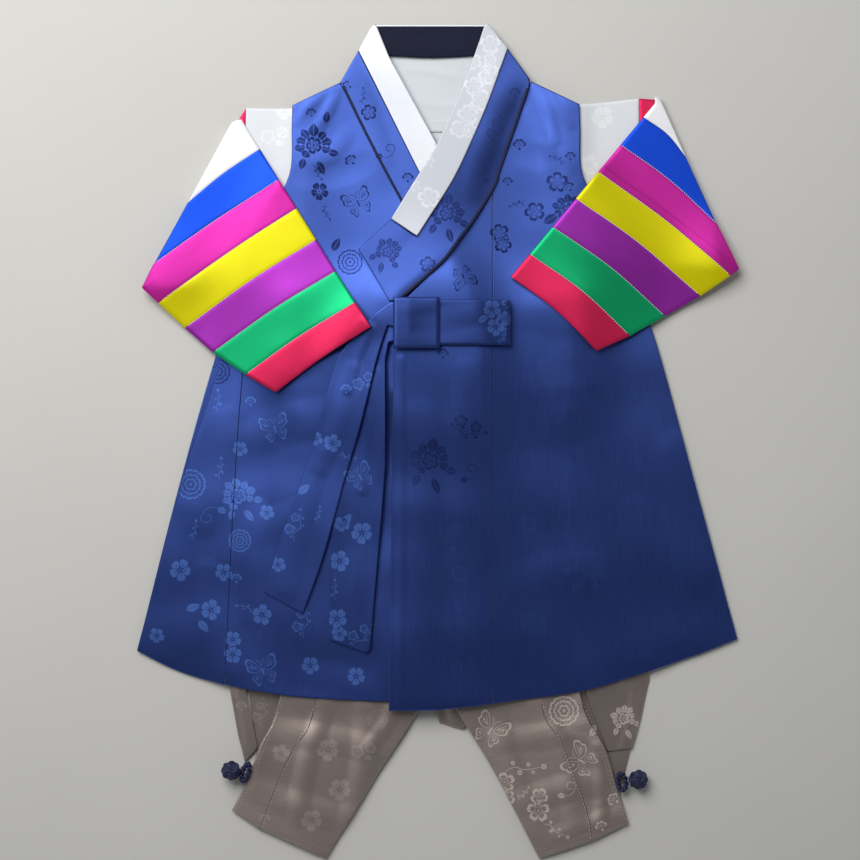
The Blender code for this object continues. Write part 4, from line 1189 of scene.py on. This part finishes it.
def turned_sleeve(side, table):
    """The striped sleeve turned back over the front, its stripes as flattened rings."""
    start, end = (np.array(table[k]) for k in ("fold_start", "fold_end"))
    reached = np.concatenate([[0.0], np.cumsum(table["widths"])]) / sum(table["widths"])
    top = [start + s * (end - start) for s in reached]
    outer = [np.array(p, float) for p in table["outer"]]
    seams = []
    for a, b in zip(top, outer):
        across = np.array((-(b - a)[1], (b - a)[0])) / np.hypot(*(b - a))
        seams.append(spline([a, 0.5 * (a + b) + table["bow"] * across, b]))
    hull = [tuple(p) for p in top + outer[:3:-1]] + [table["corner"]] + [tuple(p) for p in outer[2::-1]]
    field = PILE.rest(*TURNED_FALL, slack=0.9, phase=table["phase"], within=hull, lift=table["lift"])
    for k, (name, finish, slot) in enumerate(TURNED):
        edge = [outer[k], outer[k + 1]]
        keep = ()
        if k == CORNER_STRIPE:
            edge.insert(1, np.array(table["corner"], float))
            sides = np.hypot(*np.diff(edge, axis=0).T)
            keep = (float(sides[0] / sides.sum()),)
        rows = stripe_rows(seams[k], seams[k + 1], edge, keep=keep)
        ring_of_cloth(f"sleeve_{name}_{side}", rows, field, finish, hollow=TURNED_AIR, dent=0.17,
                      reach_down=0.4 if k < CORNER_STRIPE else None)
    PILE.add(hull, field, 2 * PLY + TURNED_AIR)
    # white stitches in the seams between stripes: partly thread, partly a painted highlight for the light
    # along each seam's fold
    for k, seam in enumerate(seams[1:-1]):
        thread_run(f"stripe_stitches_{side}_{k}", along(seam, np.linspace(0.015, 0.985, 24)), field,
                   SEAM_THREAD, "thread_white", "sleeve_white", *SEAM_STITCH)
    cuff = [along(seams[-1], s) * 0.93 + along(seams[-2], s) * 0.07 for s in np.linspace(0.02, 0.98, 24)]
    thread_run("cuff_stitches_" + side, cuff, field, CUFF_THREAD, "stripe_red", "stripe_red", *CUFF_STITCH)


# Lines of each trouser leg, and the folds of its front: start, end, half width, height, bend
LEFT_LEG = {
    "outer": ((-104, 100), (-118, -80), (-133, -217), (-150, -259), (-161, -288), (-174, -314)),
    "seam": ((-70, 100), (-86, -80), (-103, -224), (-121, -261), (-133, -286), (-150, -330)),
    "inner": ((-1, 100), (-1, -196), (-17, -232), (-47, -279), (-94, -355)),
    "flap": ((-176, -200), (-176, -211), (-169, -250), (-163, -273), (-152, -261), (-162, -212),
             (-162, -200)),
    "back": ((-163, -200), (-160, -214), (-153, -262), (-157, -290), (-168, -314), (-148, -326),
             (-97, -351)),
    "folds": (((-60, -215), (-74, -330), 14.0, 1.2, 6.0), ((-92, -220), (-118, -320), 11.0, 1.0, -4.0),
              ((-36, -226), (-58, -262), 9.0, 0.9, 2.0), ((-140, -246), (-48, -264), 14.0, 1.1, 3.0),
              ((-152, -296), (-70, -322), 14.0, 1.2, -3.0), ((-118, -220), (-40, -226), 9.0, 0.7, 1.0)),
}
RIGHT_LEG = {
    "outer": ((104, 100), (112, -80), (122, -212), (144, -261), (154, -293), (164, -325)),
    "seam": ((70, 100), (80, -80), (89, -219), (107, -256), (128, -313), (133, -340)),
    "inner": ((1, 100), (1, -196), (18, -229), (44, -271), (66, -312), (88, -355)),
    "flap": ((182, -192), (182, -203), (175, -235), (167, -261), (146, -264), (128, -214), (128, -192)),
    "back": ((150, -200), (165, -248), (166, -262), (162, -277), (157, -300), (159, -321), (133, -336),
             (91, -351)),
    "folds": (((48, -215), (86, -330), 13.0, 1.2, -5.0), ((88, -222), (118, -318), 12.0, 1.4, 5.0),
              ((136, -262), (140, -326), 8.0, 1.3, 3.0), ((112, -250), (158, -262), 7.0, 0.8),
              ((54, -254), (140, -238), 13.0, 1.1, -3.0), ((76, -306), (156, -288), 14.0, 1.2, 3.0),
              ((96, -338), (160, -316), 9.0, 0.7, 1.0)),
}
LEGS = (("left", LEFT_LEG, -1), ("right", RIGHT_LEG, 1))


def bent(line, steps=5):
    """A leg's line with its straight top kept and the shown part smooth."""
    return [np.array(line[0], float)] + spline(line[1:], steps)


def trouser_backs():
    """The back of each leg and the flap at its side."""
    for side, leg, sign in LEGS:
        outline = bent(leg["inner"])[:-1] + list(leg["back"])[::-1] + [(sign * WAIST_HALF, 100)]
        field = PILE.rest(slack=1.0, phase=2.2 * sign)
        lay([("leg_back_" + side, outline)], "taupe", field, spacing=HALF_SEEN,
            tables=LEG_FIGURES)
        folds = [((sign * 170, -205), (sign * 160, -262), 6.0, 1.0, 2.0)]
        field = PILE.rest(*CLOSE_FALL, folds, slack=0.6, phase=1.0)
        lay([("side_flap_" + side, list(leg["flap"]))], "taupe", field, tables=LEG_FIGURES)


def trouser_fronts():
    """The gusset between the legs, each leg's main panel and side strip, and the waistband."""
    gusset = [(-34, -150), (38, -150), (40, CROTCH_Y - 10), (24, -245), (3, -240), (-8, CROTCH_Y)]
    folds = [((8, -205), (16, -240), 7.0, 1.6, 2.0), ((24, -205), (26, -240), 5.0, 1.0)]
    lay([("gusset", gusset)], "taupe", PILE.rest(folds=folds))
    for side, leg, sign in LEGS:
        inner, seam = bent(leg["inner"]), bent(leg["seam"])
        main = inner + sideways(seam, -sign * SEAM_HALF)[::-1]
        strip = sideways(seam, sign * SEAM_HALF) + bent(leg["outer"])[::-1]
        field = PILE.rest(*LEG_FALL, leg["folds"], slack=2.4, phase=3.0 + sign)
        lay([("leg_main_" + side, main), ("leg_side_" + side, strip)], "taupe", field,
            tables=LEG_FIGURES, grain=90.0 + sign * 18.0, seams=[seam])
        edge, joint = spline(leg["outer"][2:], 8), spline(leg["seam"][2:], 8)
        hem = [np.array(p) + (0.0, 7.0) for p in main[len(inner) - 1:len(inner) + 1]]
        for name, line, stitch in (
                ("side_stitches_" + side + "_0", sideways(edge, -sign * 2.0), EDGE_STITCH),
                ("side_stitches_" + side + "_1", sideways(edge, -sign * 4.6), EDGE_STITCH),
                ("seam_stitches_" + side, sideways(joint, -sign * 0.7), LEG_SEAM_STITCH),
                ("hem_stitches_" + side, hem, HEM_STITCH)):
            thread_run(name, line, field, SILK, "thread_taupe", "trouser_taupe", *stitch)
    low = WAIST_Y - WAISTBAND_DEPTH
    band = [(-WAIST_HALF, low), (WAIST_HALF, low), (WAIST_HALF, WAIST_Y), (-WAIST_HALF, WAIST_Y)]
    lay([("waistband", band)], "taupe", PILE.rest(), spacing=COARSE)


def jacket_fronts():
    """The jacket's under and over front, inside the overcoat."""
    under = [(-NECK_X + 4, NECK_Y - 8), (-SHOULDER_X + 4, SHOULDER_Y - 6), (-SHOULDER_X + 2, 176)]
    under += [(-130, JACKET_HEM_Y + 8), (20, JACKET_HEM_Y + 2), (20, 170), (-14, 228)]
    over = [(NECK_X - 4, NECK_Y - 8), (SHOULDER_X - 4, SHOULDER_Y - 6), (SHOULDER_X - 2, 176)]
    over += [(130, JACKET_HEM_Y + 8), (-30, JACKET_HEM_Y + 2), (-30, 150), (22, 236)]
    for node, outline in (("jacket_front_under", under), ("jacket_front_over", over)):
        lay([(node, outline)], "lining", PILE.rest(*CLOSE_FALL), spacing=LINED)


# Soft folds of the fronts: start, end, half width, height, bend
UNDER_FOLDS = (
    ((-120, -20), (-140, -215), 26.0, 0.96, 6.0), ((-215, -60), (-232, -180), 18.0, 0.84, -3.0),
    ((-84, 300), (-104, 262), 7.0, 0.54, 2.0), ((-90, 301), (-118, 272), 6.0, 0.36, -2.0),
    ((-76, 262), (-100, 238), 10.0, 0.42, 3.0), ((-62, 236), (-112, 226), 13.0, -0.42, 4.0),
    ((-180, 20), (-196, -70), 14.0, 0.48, 4.0), ((-150, -60), (-158, -150), 12.0, 0.42, -3.0),
    ((-196, -110), (-206, -190), 13.0, 0.54, 2.0), ((-150, 120), (-166, 30), 14.0, 0.42, 3.0),
    ((-96, 80), (-140, 60), 18.0, 0.42, 0.0), ((-92, 20), (-150, 6), 20.0, 0.42, -4.0),
    ((-108, -60), (-160, -74), 18.0, 0.36, 3.0), ((-120, -196), (-60, -206), 14.0, 0.3, 2.0),
)
OVER_FOLDS = (
    ((120, 60), (150, -205), 34.0, 1.02, 8.0), ((205, -10), (232, -175), 24.0, 0.96, 4.0),
    ((86, 302), (102, 256), 6.0, 0.6, 2.0), ((94, 300), (114, 270), 6.0, 0.36, -2.0),
    ((78, 278), (96, 236), 10.0, 0.48, 4.0), ((74, 246), (112, 226), 13.0, -0.42, 3.0),
    ((70, 40), (92, -60), 20.0, 0.42, -5.0), ((88, -90), (96, -208), 24.0, 0.48, 4.0),
    ((170, -60), (190, -190), 18.0, 0.54, -4.0), ((60, 110), (140, 96), 18.0, 0.36, 4.0),
    ((66, 10), (150, 30), 20.0, 0.3, -5.0), ((60, -128), (140, -110), 22.0, 0.3, 6.0),
)
GORE_FOLDS = (
    ((-14, 20), (-18, -226), 20.0, 0.78, 4.0), ((24, 60), (26, -60), 14.0, 0.42, -3.0),
    ((20, -80), (30, -214), 14.0, 0.48, 4.0), ((-30, 70), (-31, -222), 5.0, 0.6, 1.0),
)
# The hem from the left corner to the middle; its third point is where the side gore is joined
LEFT_HEM = ((-255, -178), (-218, -196), (-180, -206.5), (-145, -213), (-107, -217.5), (-42, -220.5),
            (36, -221))


def coat_fronts():
    """The under front with its side gore, then the over front with its overlap gore."""
    seam = spline([(-UNDERARM_X, UNDERARM_Y), (-165, 56), (-173, -60), LEFT_HEM[2]])
    hem = spline(LEFT_HEM, 6)
    armhole = spline([(-SHOULDER_X - 0.5, 270), (-ARMHOLE_X, ARMHOLE_Y),
                      (-UNDERARM_X + 1, UNDERARM_Y + 1)], 6)
    under = [(-NECK_X, NECK_Y), (-SHOULDER_X, SHOULDER_Y)] + armhole + sideways(seam, SEAM_HALF)
    under += hem[13:]
    under += [(36, 60), (10, 140), (-22, 206), (-50, 252)]
    gore = sideways(seam, -SEAM_HALF)[::-1]
    gore += spline([(-UNDERARM_X - 3, UNDERARM_Y - 6), (-184, 66), (-218, -39), LEFT_HEM[0]])[:-1]
    gore += hem[:12]
    field = PILE.rest(*FRONT_FALL, UNDER_FOLDS, slack=2.2, phase=0.4)
    # the figures low on the left take the lighter copy of the figure's finish: painted light
    lay([("vest_front_under", under), ("vest_side_gore", gore)], "blue", field, COAT_SILK,
        tables=(COAT_FIGURES, PAINTED_LIGHT_FIGURES),
        grain=-23.0, seams=[seam])
    over = [(NECK_X, NECK_Y + 1), (SHOULDER_X, SHOULDER_Y + 1)] + ARMHOLE
    over += spline([(UNDERARM_X + 3, UNDERARM_Y - 6), (186, 90), (222, -40), (257, -168)])
    over += spline([(224, -181), (173, -198), (122, -212), (OVER_SEAM_X + SEAM_HALF, -222)], 6)
    over += [(OVER_SEAM_X + SEAM_HALF, 222), (60, 262)]
    overlap = [(OVER_SEAM_X - SEAM_HALF, 222), (OVER_SEAM_X - SEAM_HALF, -222)]
    overlap += [(3, -227), (OVERLAP_X - 4, HEM_MIDDLE_Y - OVER_HEM_DROP)]
    overlap += [(OVERLAP_X - 4, -217), (OVERLAP_X, 76), (OVERLAP_X + 2, 112), (2, 150), (28, 186)]
    field = PILE.rest(*FRONT_FALL, OVER_FOLDS + GORE_FOLDS, slack=1.5, phase=2.6)
    # the figures low on the right take the copy coloured almost as the ground: painted sheen
    lay([("vest_front_over", over), ("vest_front_gore", overlap)], "blue", field, COAT_SILK,
        tables=(COAT_FIGURES, (), SHEEN_PAINTED_FIGURES), grain=1.0,
        seams=[[(OVER_SEAM_X, 222), (OVER_SEAM_X, -222)]])


# The collars' outer edges, which are piped
OVER_PIPED = ((79, 300), (68, 268), (55, 231), (51, 218), (34, 190), (21, 172), (8, 154), (-8, 139),
              (-26, 123))
UNDER_PIPED = ((-80, 302), (-64, 269), (-46, 234), (-27, 199))
PIPING = 1.4          # how far the piping reaches to each side, and how high it stands
PIPING_CORDS = ((-0.55, 0.42), (0.5, 0.5))   # how far aside each of its cords is, and its radius


def piping(node, line):
    """A narrow folded edge of dark silk: two fine cords side by side along a collar."""
    line = np.array(spline(line, 10))
    run = np.gradient(line, axis=0)
    side = np.stack([-run[:, 1], run[:, 0]], axis=1) / np.hypot(*run.T)[:, None]
    field = PILE.rest(*PIPING_FALL)
    strands = []
    for shift, radius in PIPING_CORDS:
        spots = line + side * shift
        heights = PILE.at(field, spots) + radius
        strands.append(cord_line(np.column_stack([spots, heights]), radius))
    points, faces = joined(strands)
    hand_over(build("cloth_" + node, points, faces, None, "cord_navy"), [node])
    wide = np.concatenate([line + side * PIPING, (line - side * PIPING)[::-1]])
    PILE.add(wide, field, PIPING)


# The folds of the collars, as those of the fronts, and where the over collar stands up: centre, reach, height
COLLAR_UNDER_FOLDS = (((-74, 322), (-46, 240), 12.0, 0.4, 2.0),)
COLLAR_OVER_FOLDS = (((68, 312), (30, 214), 12.0, 0.4, -3.0), ((10, 190), (-40, 140), 14.0, 0.4, 3.0))
COLLAR_LIFT = (((50, 300), 26.0, 2.2), ((30, 256), 26.0, 2.0), ((14, 222), 24.0, 1.2),
               ((-52, 160), 22.0, 1.6), ((-28, 176), 20.0, 1.2))


def collars():
    """Blue bands with their piping, and the white strips on them."""
    under = [(-66, 333), (-81, 306)] + spline(UNDER_PIPED, 5) + [(-6, 216), (-11, 224)]
    field = PILE.rest(*COLLAR_FALL, COLLAR_UNDER_FOLDS, slack=0.6, phase=1.0, within=under)
    lay([("collar_under", under)], "blue", field, tables=(COAT_FIGURES,),
        grain=117.0)
    piping("piping_under", [(x + 1.5, y) for x, y in UNDER_PIPED])
    white_under = [(-54, COLLAR_TOP_Y), (-66, 333), (-12, 225), (1, 240), (1, 253), (-40, 328),
                   (-51, COLLAR_TOP_Y)]
    field = PILE.rest(*COLLAR_FALL, slack=0.4, phase=2.0, within=white_under)
    lay([("strip_under", white_under)], "white", field,
        tables=(WHITE_FIGURES,), grain=117.0)
    strip_edge = spline([(61, 335), (45, 290.7), (30.6, 256.7), (14.4, 222.7), (-6.8, 188.7), (-16, 174)], 6)
    over = [(61, 335), (80, 308)] + spline(OVER_PIPED, 8) + [(-39, 118), (-60, 154), (-66, 163)]
    over += [(-38, 189), (-17.5, 174)] + sideways(strip_edge[-2:0:-1], -1.5)
    field = PILE.rest(*COLLAR_FALL, COLLAR_OVER_FOLDS, slack=0.6, phase=3.0, within=over, lift=COLLAR_LIFT)
    # the over collar takes the darker copy of the blue silk: painted shade
    lay([("collar_over", over)], "blue_painted_shade", field, tables=(COAT_FIGURES,),
        grain=43.0)
    piping("piping_over", [(x - 1.5, y + 0.5) for x, y in OVER_PIPED])
    white_over = [(44, COLLAR_TOP_Y + 1)] + strip_edge + [(-38, 189)]
    white_over += spline([(0.5, 252), (19, 293), (33, 330), (41.5, COLLAR_TOP_Y)], 4)
    field = PILE.rest(*COLLAR_FALL, slack=0.4, phase=4.0, within=white_over)
    # the over strip takes the greyer copy of the white silk: painted shade
    lay([("strip_over", white_over)], "white_painted_shade", field,
        tables=(WHITE_FIGURES,), grain=60.0)


# The folds of the tie's tails and of the bow's loop
SHORT_TAIL_FOLDS = (((-64, 20), (-72, -160), 12.0, 0.6, 3.0), ((-52, 60), (-62, -40), 7.0, 0.5, -2.0))
LONG_TAIL_FOLDS = (((-70, 60), (-98, -20), 11.0, 0.6, 3.0), ((-96, -10), (-126, -124), 12.0, 0.6, -3.0),
                   ((-56, 96), (-74, 44), 6.0, 0.9, -2.0))
LOOP_FOLDS = (((10, 84), (60, 88), 9.0, 0.3, 2.0), ((12, 108), (58, 114), 10.0, 0.4, -2.0))


def tie():
    """The tie's short tail, and the long one over it."""
    short = [(-26, 112), (-26, 88), (-40, 84), (-43, 70), (-43, 15), (-43, -20), (-46, -60), (-56, -176)]
    short += [(-59, -179), (-90, -168), (-91, -166), (-89, -87), (-84, -20), (-82, 60), (-62, 90), (-40, 112)]
    field = PILE.rest(*TAIL_FALL, SHORT_TAIL_FOLDS, slack=1.3, phase=5.0, within=short)
    # the tail's figures take the lighter copy of the figure's finish: painted light
    lay([("tie_tail_short", short)], "blue", field, tables=((), TAIL_FIGURES),
        grain=-8.0)
    left = spline([(-38, 118), (-54, 105), (-80, 76), (-94, 37), (-106, -8), (-128, -70), (-146, -128)])
    right = spline([(-113, -146), (-96, -98), (-78, -34), (-63, 18), (-50, 70), (-41, 98)])
    long = left + right + [(-24, 96), (-24, 117)]
    field = PILE.rest(*TAIL_FALL, LONG_TAIL_FOLDS, slack=1.3, phase=2.0, within=long)
    # the tail's figures take the lighter copy of the figure's finish: painted light
    lay([("tie_tail_long", long)], "blue", field,
        tables=((), TAIL_FIGURES), grain=-24.0)


def flat_rows(left, right, low, high, count, across=ACROSS):
    """Rows of a level ring between its two folded edges."""
    return [[(left + a * (right - left), y) for a in across] for y in np.linspace(low, high, count)]


def bow():
    """The bow's one loop, pressed flat, and the knot wrapped round its end."""
    left, low = KNOT_CORNER
    right, high = left + KNOT_SIZE[0], low + KNOT_SIZE[1]
    x_from, x_to = right - 8.0, right + LOOP_SIZE[0]
    y_from, y_to = low + 3, low + 3 + LOOP_SIZE[1]
    outline = [(x_from, y_from), (x_to, y_from), (x_to, y_to), (x_from, y_to)]
    field = PILE.rest(*LOOP_FALL, LOOP_FOLDS, within=outline)
    rows = flat_rows(x_from, x_to, y_from, y_to, 60, ACROSS_FINE)
    # the loop takes the darker copy of the blue silk, painted shade, and its figures that copy's lighter
    # figure finish, painted light
    ring_of_cloth("tie_loop", rows, field, "blue_painted_shade", LOOP_AIR, 4.0,
                  dent=0.3, table=LOOP_FIGURES, number=2)
    PILE.add(outline, field, 2 * PLY + LOOP_AIR)
    outline = [(left, low), (right, low), (right, high), (left, high)]
    folds = [((left + 4, low + 9), (right - 2, low + 5), 7.0, 0.35, 1.0),
             ((left + 6, high - 10), (right - 3, high - 6), 8.0, 0.4, -1.0)]
    field = PILE.rest(*KNOT_FALL, folds, within=outline)
    # the knot takes the darker copy of the blue silk: painted shade
    ring_of_cloth("tie_knot", flat_rows(left, right, low, high, 24), field, "blue_painted_shade",
                  KNOT_AIR, 3.0, dent=0.35)


# Cord knots at the trousers' sides: ball centre, loop centre, loop length, loop width, loop turn in degrees
KNOTS = {
    "left": ((-174, -279), (-162, -281), 18.0, 8.5, 72.0),
    "right": ((172, -287), (158, -289), 17.0, 10.0, 100.0),
}
BALL_CORD = 0.58 * CORD   # radius of the cord that a ball is wound of
CORE = 0.86           # radius of the ball's core as a share of its own
ROUNDS = 3.0          # how often the cord goes round the ball
CROSSINGS = 4.0       # and up and down on its way
TILT = 1.12           # how far up it goes, in radians
WEAVE = 0.8           # how far it goes over and under itself
LOOP_CORD = 0.4 * CORD    # radius of each of a loop's two cords
LOOP_TWIST = 0.36 * CORD  # how far each is from their middle
LOOP_TURNS = 5        # how often they twist


def wound_ball(centre, radius):
    """A button knot: cord wound over and under itself round a ball."""
    turns = np.linspace(0, 2 * math.pi, 280)
    lead = ROUNDS * turns
    tilt = TILT * np.sin(CROSSINGS * turns)
    reach = radius - BALL_CORD + WEAVE * np.cos(2 * CROSSINGS * turns + 0.4)
    line = np.stack([reach * np.cos(tilt) * np.cos(lead), reach * np.cos(tilt) * np.sin(lead),
                     BALL_SQUASH * reach * np.sin(tilt)], axis=1) + centre
    wound = cord_line(line, BALL_CORD)
    core = []
    rings, spokes = 10, 20
    for i in range(rings + 1):
        lat = -math.pi / 2 + math.pi * i / rings
        for k in range(spokes):
            lon = 2 * math.pi * k / spokes
            core.append((centre[0] + CORE * radius * math.cos(lat) * math.cos(lon),
                         centre[1] + CORE * radius * math.cos(lat) * math.sin(lon),
                         centre[2] + CORE * radius * BALL_SQUASH * math.sin(lat)))
    faces = [(i * spokes + k, i * spokes + (k + 1) % spokes, (i + 1) * spokes + (k + 1) % spokes,
              (i + 1) * spokes + k) for i in range(rings) for k in range(spokes)]
    return joined([wound, (np.array(core), faces)])


def twisted_loop(centre, length, width, turn):
    """A loop of two cords twisted together."""
    around = np.linspace(0, 2 * math.pi, 160)
    a, b = 0.5 * (length - CORD), 0.5 * (width - CORD)
    c, s = math.cos(math.radians(turn)), math.sin(math.radians(turn))
    strands = []
    for phase in (0.0, math.pi):
        twist = LOOP_TURNS * around + phase
        off = LOOP_TWIST * np.cos(twist)
        x = (a + off) * np.cos(around)
        y = (b + off) * np.sin(around)
        z = LOOP_TWIST * np.sin(twist)
        line = np.stack([x * c - y * s, x * s + y * c, z], axis=1) + centre
        strands.append(cord_line(line, LOOP_CORD))
    return joined(strands)


def cord_knots():
    """The knot and loop of cord at each side of the trousers."""
    for side, (ball, loop, length, width, turn) in KNOTS.items():
        for node, place in (("knot_ball_" + side, ball), ("knot_loop_" + side, loop)):
            low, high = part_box(node)
            centre = (*place, 0.5 * (low[2] + high[2]) / MM)
            points, faces = (wound_ball(centre, 0.5 * KNOT_BALL) if place is ball
                             else twisted_loop(centre, length, width, turn))
            piece = build("cord_" + node, points, faces, None, "cord_navy", uv=points[:, :2] + points[:, 2:])
            hand_over(piece, [node])


# The surface, the light and the camera

def floor():
    """A pale matt board under the clothes."""
    mesh = bpy.data.meshes.new("board")
    corners = [(x * BOARD_HALF, y * BOARD_HALF, -BOARD_DROP) for x, y in ((-1, -1), (1, -1), (1, 1), (-1, 1))]
    mesh.from_pydata(corners, [], [(0, 1, 2, 3)])
    board = bpy.data.materials.new("painted_board_matt_pale_grey")
    board.use_nodes = True
    tree = board.node_tree
    shader = tree.nodes["Principled BSDF"]
    place = add(tree, "ShaderNodeTexCoord")
    clouds = add(tree, "ShaderNodeTexNoise", {"Scale": 5.0, "Detail": 3.0, "Roughness": 0.5},
                 {"Vector": place.outputs["Object"]})
    tone = add(tree, "ShaderNodeMix", links={0: clouds.outputs["Fac"]}, data_type="RGBA")
    tone.inputs[6].default_value = linear("#cbcac6")
    tone.inputs[7].default_value = linear("#d3d2ce")
    tree.links.new(tone.outputs[2], shader.inputs["Base Color"])
    fleck = add(tree, "ShaderNodeTexNoise", {"Scale": 900.0, "Detail": 2.0},
                {"Vector": place.outputs["Object"]})
    bump = add(tree, "ShaderNodeBump", {"Strength": 0.15, "Distance": 0.0002},
               {"Height": fleck.outputs["Fac"]})
    tree.links.new(bump.outputs["Normal"], shader.inputs["Normal"])
    shader.inputs["Roughness"].default_value = 0.85
    shader.inputs["Specular IOR Level"].default_value = 0.15
    mesh.materials.append(board)
    piece = bpy.data.objects.new("board", mesh)
    bpy.context.scene.collection.objects.link(piece)


# The window: its place, what it faces and its size in metres, its power in watts and its colour
WINDOW_PLACE = (-0.52, 0.82, 1.2)
WINDOW_TARGET = (0.0, 0.05, 0.0)
WINDOW_SIZE = 1.1
WINDOW_POWER = 22.8
WINDOW_COLOUR = "#fffefc"
# The room's light: strong from its walls, weak from its ceiling
WALLS = 0.5
CEILING = 0.05


def light():
    """A large soft window above the collar on the left, and a room with pale walls and a dim ceiling."""
    lamp = bpy.data.lights.new("window", "AREA")
    lamp.shape = "SQUARE"
    lamp.size = WINDOW_SIZE
    lamp.energy = WINDOW_POWER
    lamp.color = linear(WINDOW_COLOUR)[:3]
    item = bpy.data.objects.new("window", lamp)
    item.location = WINDOW_PLACE
    aim = Vector(WINDOW_TARGET) - Vector(WINDOW_PLACE)
    item.rotation_euler = aim.to_track_quat("-Z", "Y").to_euler()
    bpy.context.scene.collection.objects.link(item)
    world = bpy.data.worlds.new("room")
    world.use_nodes = True
    tree = world.node_tree
    way = add(tree, "ShaderNodeTexCoord")
    height = add(tree, "ShaderNodeSeparateXYZ", links={"Vector": way.outputs["Generated"]})
    strength = add(tree, "ShaderNodeMapRange",
                   {"From Min": 0.35, "From Max": 0.9, "To Min": WALLS, "To Max": CEILING},
                   {"Value": height.outputs["Z"]})
    tree.nodes["Background"].inputs["Color"].default_value = linear("#eceef2")
    tree.links.new(strength.outputs["Result"], tree.nodes["Background"].inputs["Strength"])
    bpy.context.scene.world = world


def camera():
    """The camera straight above, so that the photograph's width fits at the cloth's level."""
    eye = bpy.data.cameras.new("above")
    eye.sensor_width = SENSOR
    eye.lens = SENSOR * (VIEW_HEIGHT - CLOTH_LEVEL) / VIEW_WIDTH
    eye.clip_end = FAR_CLIP
    item = bpy.data.objects.new("above", eye)
    item.location = (VIEW_CENTRE[0] * MM, VIEW_CENTRE[1] * MM, VIEW_HEIGHT * MM)
    bpy.context.scene.collection.objects.link(item)
    bpy.context.scene.camera = item
    bpy.context.scene.view_settings.view_transform = "Standard"


coat_back()
jacket_back()
neck_back()
lower_sleeve("left", LEFT_LOWER, phase=3.0)
lower_sleeve("right", RIGHT_LOWER, phase=5.0)
trouser_backs()
trouser_fronts()
jacket_fronts()
coat_fronts()
collars()
tie()
turned_sleeve("left", LEFT_SLEEVE)
turned_sleeve("right", RIGHT_SLEEVE)
bow()
cord_knots()
floor()
light()
camera()
